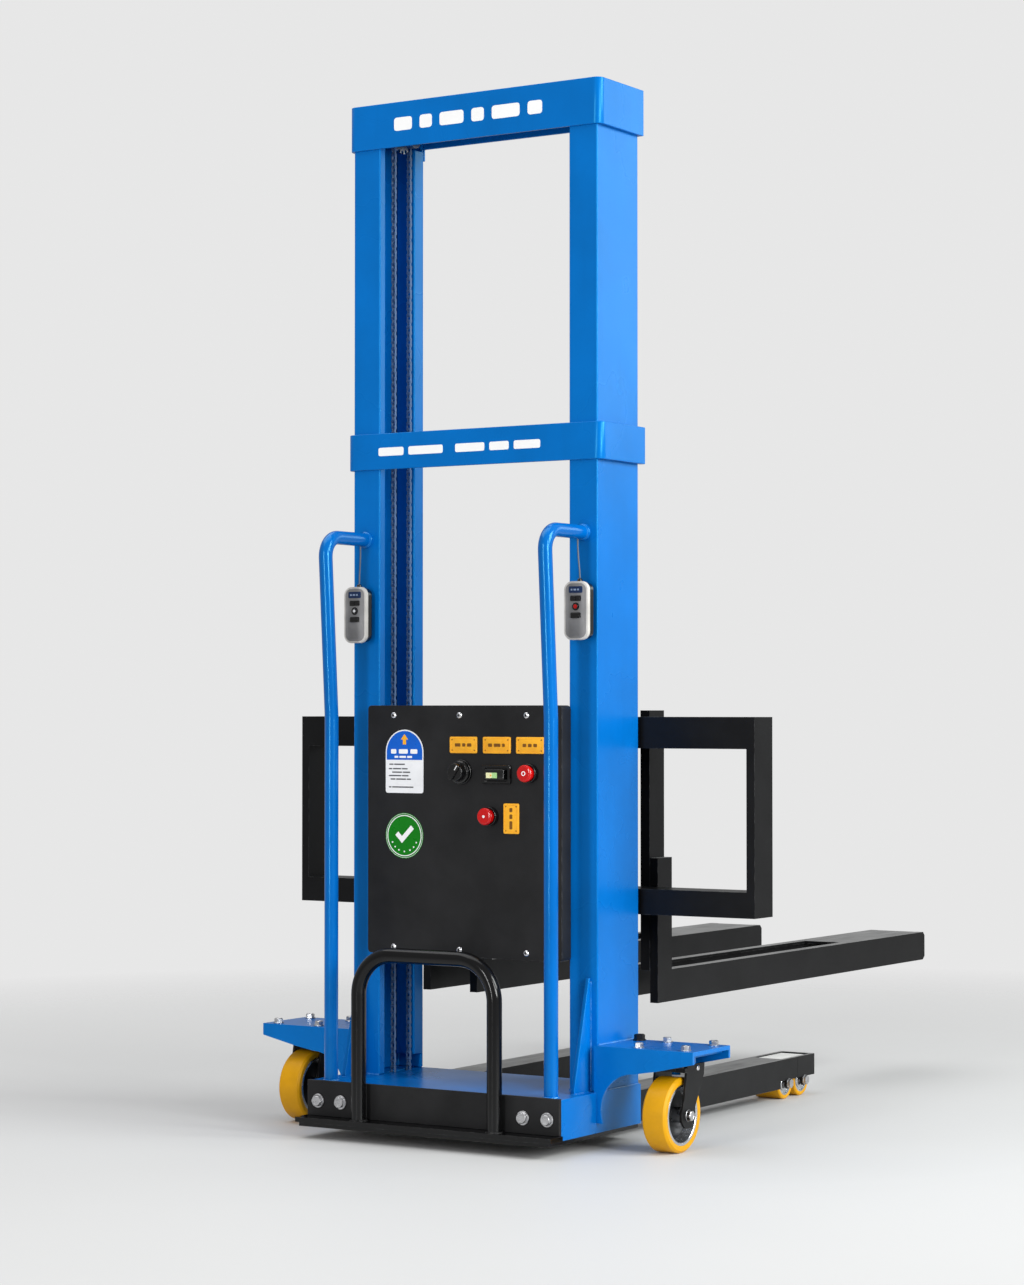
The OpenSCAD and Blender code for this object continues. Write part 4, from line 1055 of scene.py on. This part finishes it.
def make_handsets():
    """Pendant handsets: a rim, a case, a face with display, key wells and pad, and a cord clip."""
    for side, s in SIDES.items():
        shape = Shape()
        spot = place(s * REMOTE_X, REMOTE_FACE, REMOTE_Z, TO_REAR)
        rim = rounded_box(REMOTE_W, REMOTE_H, 17, 8)
        shape.slab(rim, -9, -0.6, "remote_rim", spot, 2.0)
        case = rounded_box(REMOTE_W - 4, REMOTE_H - 4, 15, 8)
        shape.slab(case, -25, -8.5, "gloss_black", spot)
        face = rounded_box(REMOTE_W - 8, REMOTE_H - 8, 13.5, 8)
        shape.slab(face, -2, -0.1, "grey", spot, 0.6)
        shape.slab(shifted(rounded_box(40, 34, 8, 6), 0, -31), -1, 0.9, "grey", spot, 0.8)
        display = shifted(rounded_box(31, 13, 2.5), 0, DISPLAY_UP)
        shape.slab(display, -1, 0.35, "display", spot)
        greeked(shape, [(-11, DISPLAY_UP, (4, 6, 4))], "print_pale", spot, 0.2, 0.5, 3.4)
        wells = (rounded_box(25, 11, 2.5), circle(8, 32), rounded_box(23.5, 12.5, 3))
        for outline, up in zip(wells, KEYS_UP):
            shape.slab(shifted(outline, 0, up), -1, 0.25, "gloss_black", spot, 0.2)
        clip = place(s * REMOTE_X, CLIP_Y, CLIP_Z)
        shape.lathe([(0.5, 0), (5, 0), (5, 5), (3.6, 7.2), (0.5, 7.2)], "gloss_black", clip, 24)
        shape.piece("handset_" + side, side + "_handset", [side + "_remote"])
        make_cord(side, s)


def make_key_marks():
    """Coloured centres of the round keys on the handsets."""
    for side, radius, key in (("left", 3.0, "white"), ("right", 4.2, "red")):
        shape = Shape()
        spot = place(SIDES[side] * REMOTE_X, REMOTE_FACE, REMOTE_Z, TO_REAR)
        shape.slab(shifted(circle(radius, 32), 0, KEYS_UP[1]), 1.8, 2.5, key, spot, 0.3)
        shape.piece("key_mark_" + side, side + "_round")


# ------------------------------------------------------------------ legs and casters

LEG_TOP = 86.0
TIP_PLATE = {"half_width": 34.0, "from_y": 862.0, "to_y": 985.0, "thick": 0.6}
TIP_JOINT = {"x": 260.0, "y": 919.0, "half_gap": 0.8, "thick": 0.25}
YOKE_SIDE_X = 37.0
YOKE_SCREW_AHEAD = 18.0
YOKE_SCREW_Z = 161.5
YOKE_SCREW = [(0.4, -0.5), (5.2, -0.5), (5.2, 1.2), (4.2, 2.4), (1.8, 2.8), (1.7, 1.6), (0.4, 1.6)]


def make_leg_details():
    """The pale plate on each leg's tip, and the dark joint line on the leg's outer side."""
    for side, s in SIDES.items():
        shape = Shape()
        near, far = sorted(s * (LEG_X + m * TIP_PLATE["half_width"]) for m in (-1, 1))
        shape.bar((near, TIP_PLATE["from_y"], LEG_TOP),
                  (far, TIP_PLATE["to_y"], LEG_TOP + TIP_PLATE["thick"]), "pale_plate")
        near, far = sorted((s * TIP_JOINT["x"], s * (TIP_JOINT["x"] + TIP_JOINT["thick"])))
        shape.bar((near, TIP_JOINT["y"] - TIP_JOINT["half_gap"], 27),
                  (far, TIP_JOINT["y"] + TIP_JOINT["half_gap"], 88), "dark_steel")
        shape.piece("leg_tip_plate_" + side, "chassis")


def make_yoke_details():
    """Axle nuts and the small screws above them, on both sides of each caster fork."""
    for side, s in SIDES.items():
        shape = Shape()
        for m in (-1, 1):
            turn = Matrix.Rotation(m * math.pi / 2, 4, "Y")
            x = s * CASTER_X + m * YOKE_SIDE_X
            add_bolt(shape, place(x, WHEEL_Y, WHEEL_R, turn), *AXLE_NUT)
            screw = place(x, KING_Y + YOKE_SCREW_AHEAD, YOKE_SCREW_Z, turn)
            shape.lathe(YOKE_SCREW, "bright_zinc", screw, 28)
        shape.piece("axle_nuts_" + side, side + "_caster")


make_handles()
make_guard()
make_welds()
make_chains()
make_frame_bolts()
make_panel_screws()
make_caster_wheels()
make_leg_rollers()
make_bezels()
make_knob()
make_rocker()
make_push_buttons()
make_amber_plates()
make_arched_label()
make_round_label()
make_mast_marks()
make_handsets()
make_key_marks()
make_leg_details()
make_yoke_details()


# ------------------------------------------------------------------ stage and light

FLOOR_R = 30
FADE_FROM = 1.2
FADE_TO = 3.6
FLOOR_DARK = (0.60, 0.60, 0.60)
FLOOR_PALE = (0.62, 0.62, 0.62)
BACKDROP = (0.80, 0.80, 0.80, 1)
GLOW = (1.0, 1.0, 1.0, 1)
GLOW_POWER = 0.4


def make_floor():
    """A pale floor that fades into the surroundings away from the object."""
    bpy.ops.mesh.primitive_circle_add(vertices=96, radius=FLOOR_R, fill_type="NGON")
    floor = bpy.context.object
    floor.name = "floor"
    s = Shader("pale_floor")
    s.set(Roughness=0.55)
    s.colour(s.mix(s.spread(s.noise(0.6, 3), 0, 1), FLOOR_DARK, FLOOR_PALE))
    length = s.node("ShaderNodeVectorMath", operation="LENGTH")
    s.link(s.coords, length.inputs[0])
    fade = s.spread(length.outputs["Value"], 0, 1, FADE_FROM, FADE_TO)
    clear = s.node("ShaderNodeBsdfTransparent")
    mixed = s.node("ShaderNodeMixShader")
    s.link(fade, mixed.inputs[0])
    s.link(s.bsdf.outputs[0], mixed.inputs[1])
    s.link(clear.outputs[0], mixed.inputs[2])
    s.link(mixed.outputs[0], s.out.inputs[0])
    floor.data.materials.append(s.mat)


def make_world():
    """A grey backdrop for the camera, and a white glow for everything else."""
    world = bpy.data.worlds.new("studio")
    SCENE.world = world
    world.use_nodes = True
    tree = world.node_tree
    tree.nodes.clear()
    out = tree.nodes.new("ShaderNodeOutputWorld")
    seen = tree.nodes.new("ShaderNodeBackground")
    seen.inputs[0].default_value = BACKDROP
    glow = tree.nodes.new("ShaderNodeBackground")
    glow.inputs[0].default_value = GLOW
    glow.inputs[1].default_value = GLOW_POWER
    path = tree.nodes.new("ShaderNodeLightPath")
    mix = tree.nodes.new("ShaderNodeMixShader")
    tree.links.new(path.outputs["Is Camera Ray"], mix.inputs[0])
    tree.links.new(glow.outputs[0], mix.inputs[1])
    tree.links.new(seen.outputs[0], mix.inputs[2])
    tree.links.new(mix.outputs[0], out.inputs[0])


AIM = (0, -0.5, 1.1)
COOL_WHITE = (0.97, 1, 0.99)
PLAIN = (1, 1, 1)
LIGHTS = [
    # name, place, aim, size, power, colour
    ("key_right", (5.2, 0.2, 3.8), AIM, (2.6, 2.6), 268, COOL_WHITE),
    ("low_right", (5.6, -1.9, 1.7), (0.2, -0.5, 0.4), (1.4, 1.4), 110, COOL_WHITE),
    ("rear_right", (5.2, -2.7, 2.6), (0, -0.6, 1.1), (0.9, 2.6), 100, PLAIN),
    ("top", (-1.3, -0.8, 5.0), (-0.4, 0, 0), (4.5, 4.5), 125, PLAIN),
    ("rear_strip", (0.2, -6.6, 1.7), (0, -0.6, 0.9), (0.5, 3.2), 118, PLAIN),
    ("sheen", (3.7, 5.2, 3.0), (0.4, -0.5, 1.5), (2.2, 2.2), 30, (0.85, 1, 1)),
]


def make_lights():
    for name, stands_at, target, size, power, colour in LIGHTS:
        data = bpy.data.lights.new(name, "AREA")
        data.shape = "RECTANGLE"
        data.size, data.size_y = size
        data.energy = power
        data.color = colour
        light = bpy.data.objects.new(name, data)
        light.location = stands_at
        heading = Vector(target) - Vector(stands_at)
        light.rotation_euler = heading.to_track_quat("-Z", "Y").to_euler()
        SCENE.collection.objects.link(light)


make_floor()
make_world()
make_lights()
SCENE.view_settings.view_transform = "Standard"
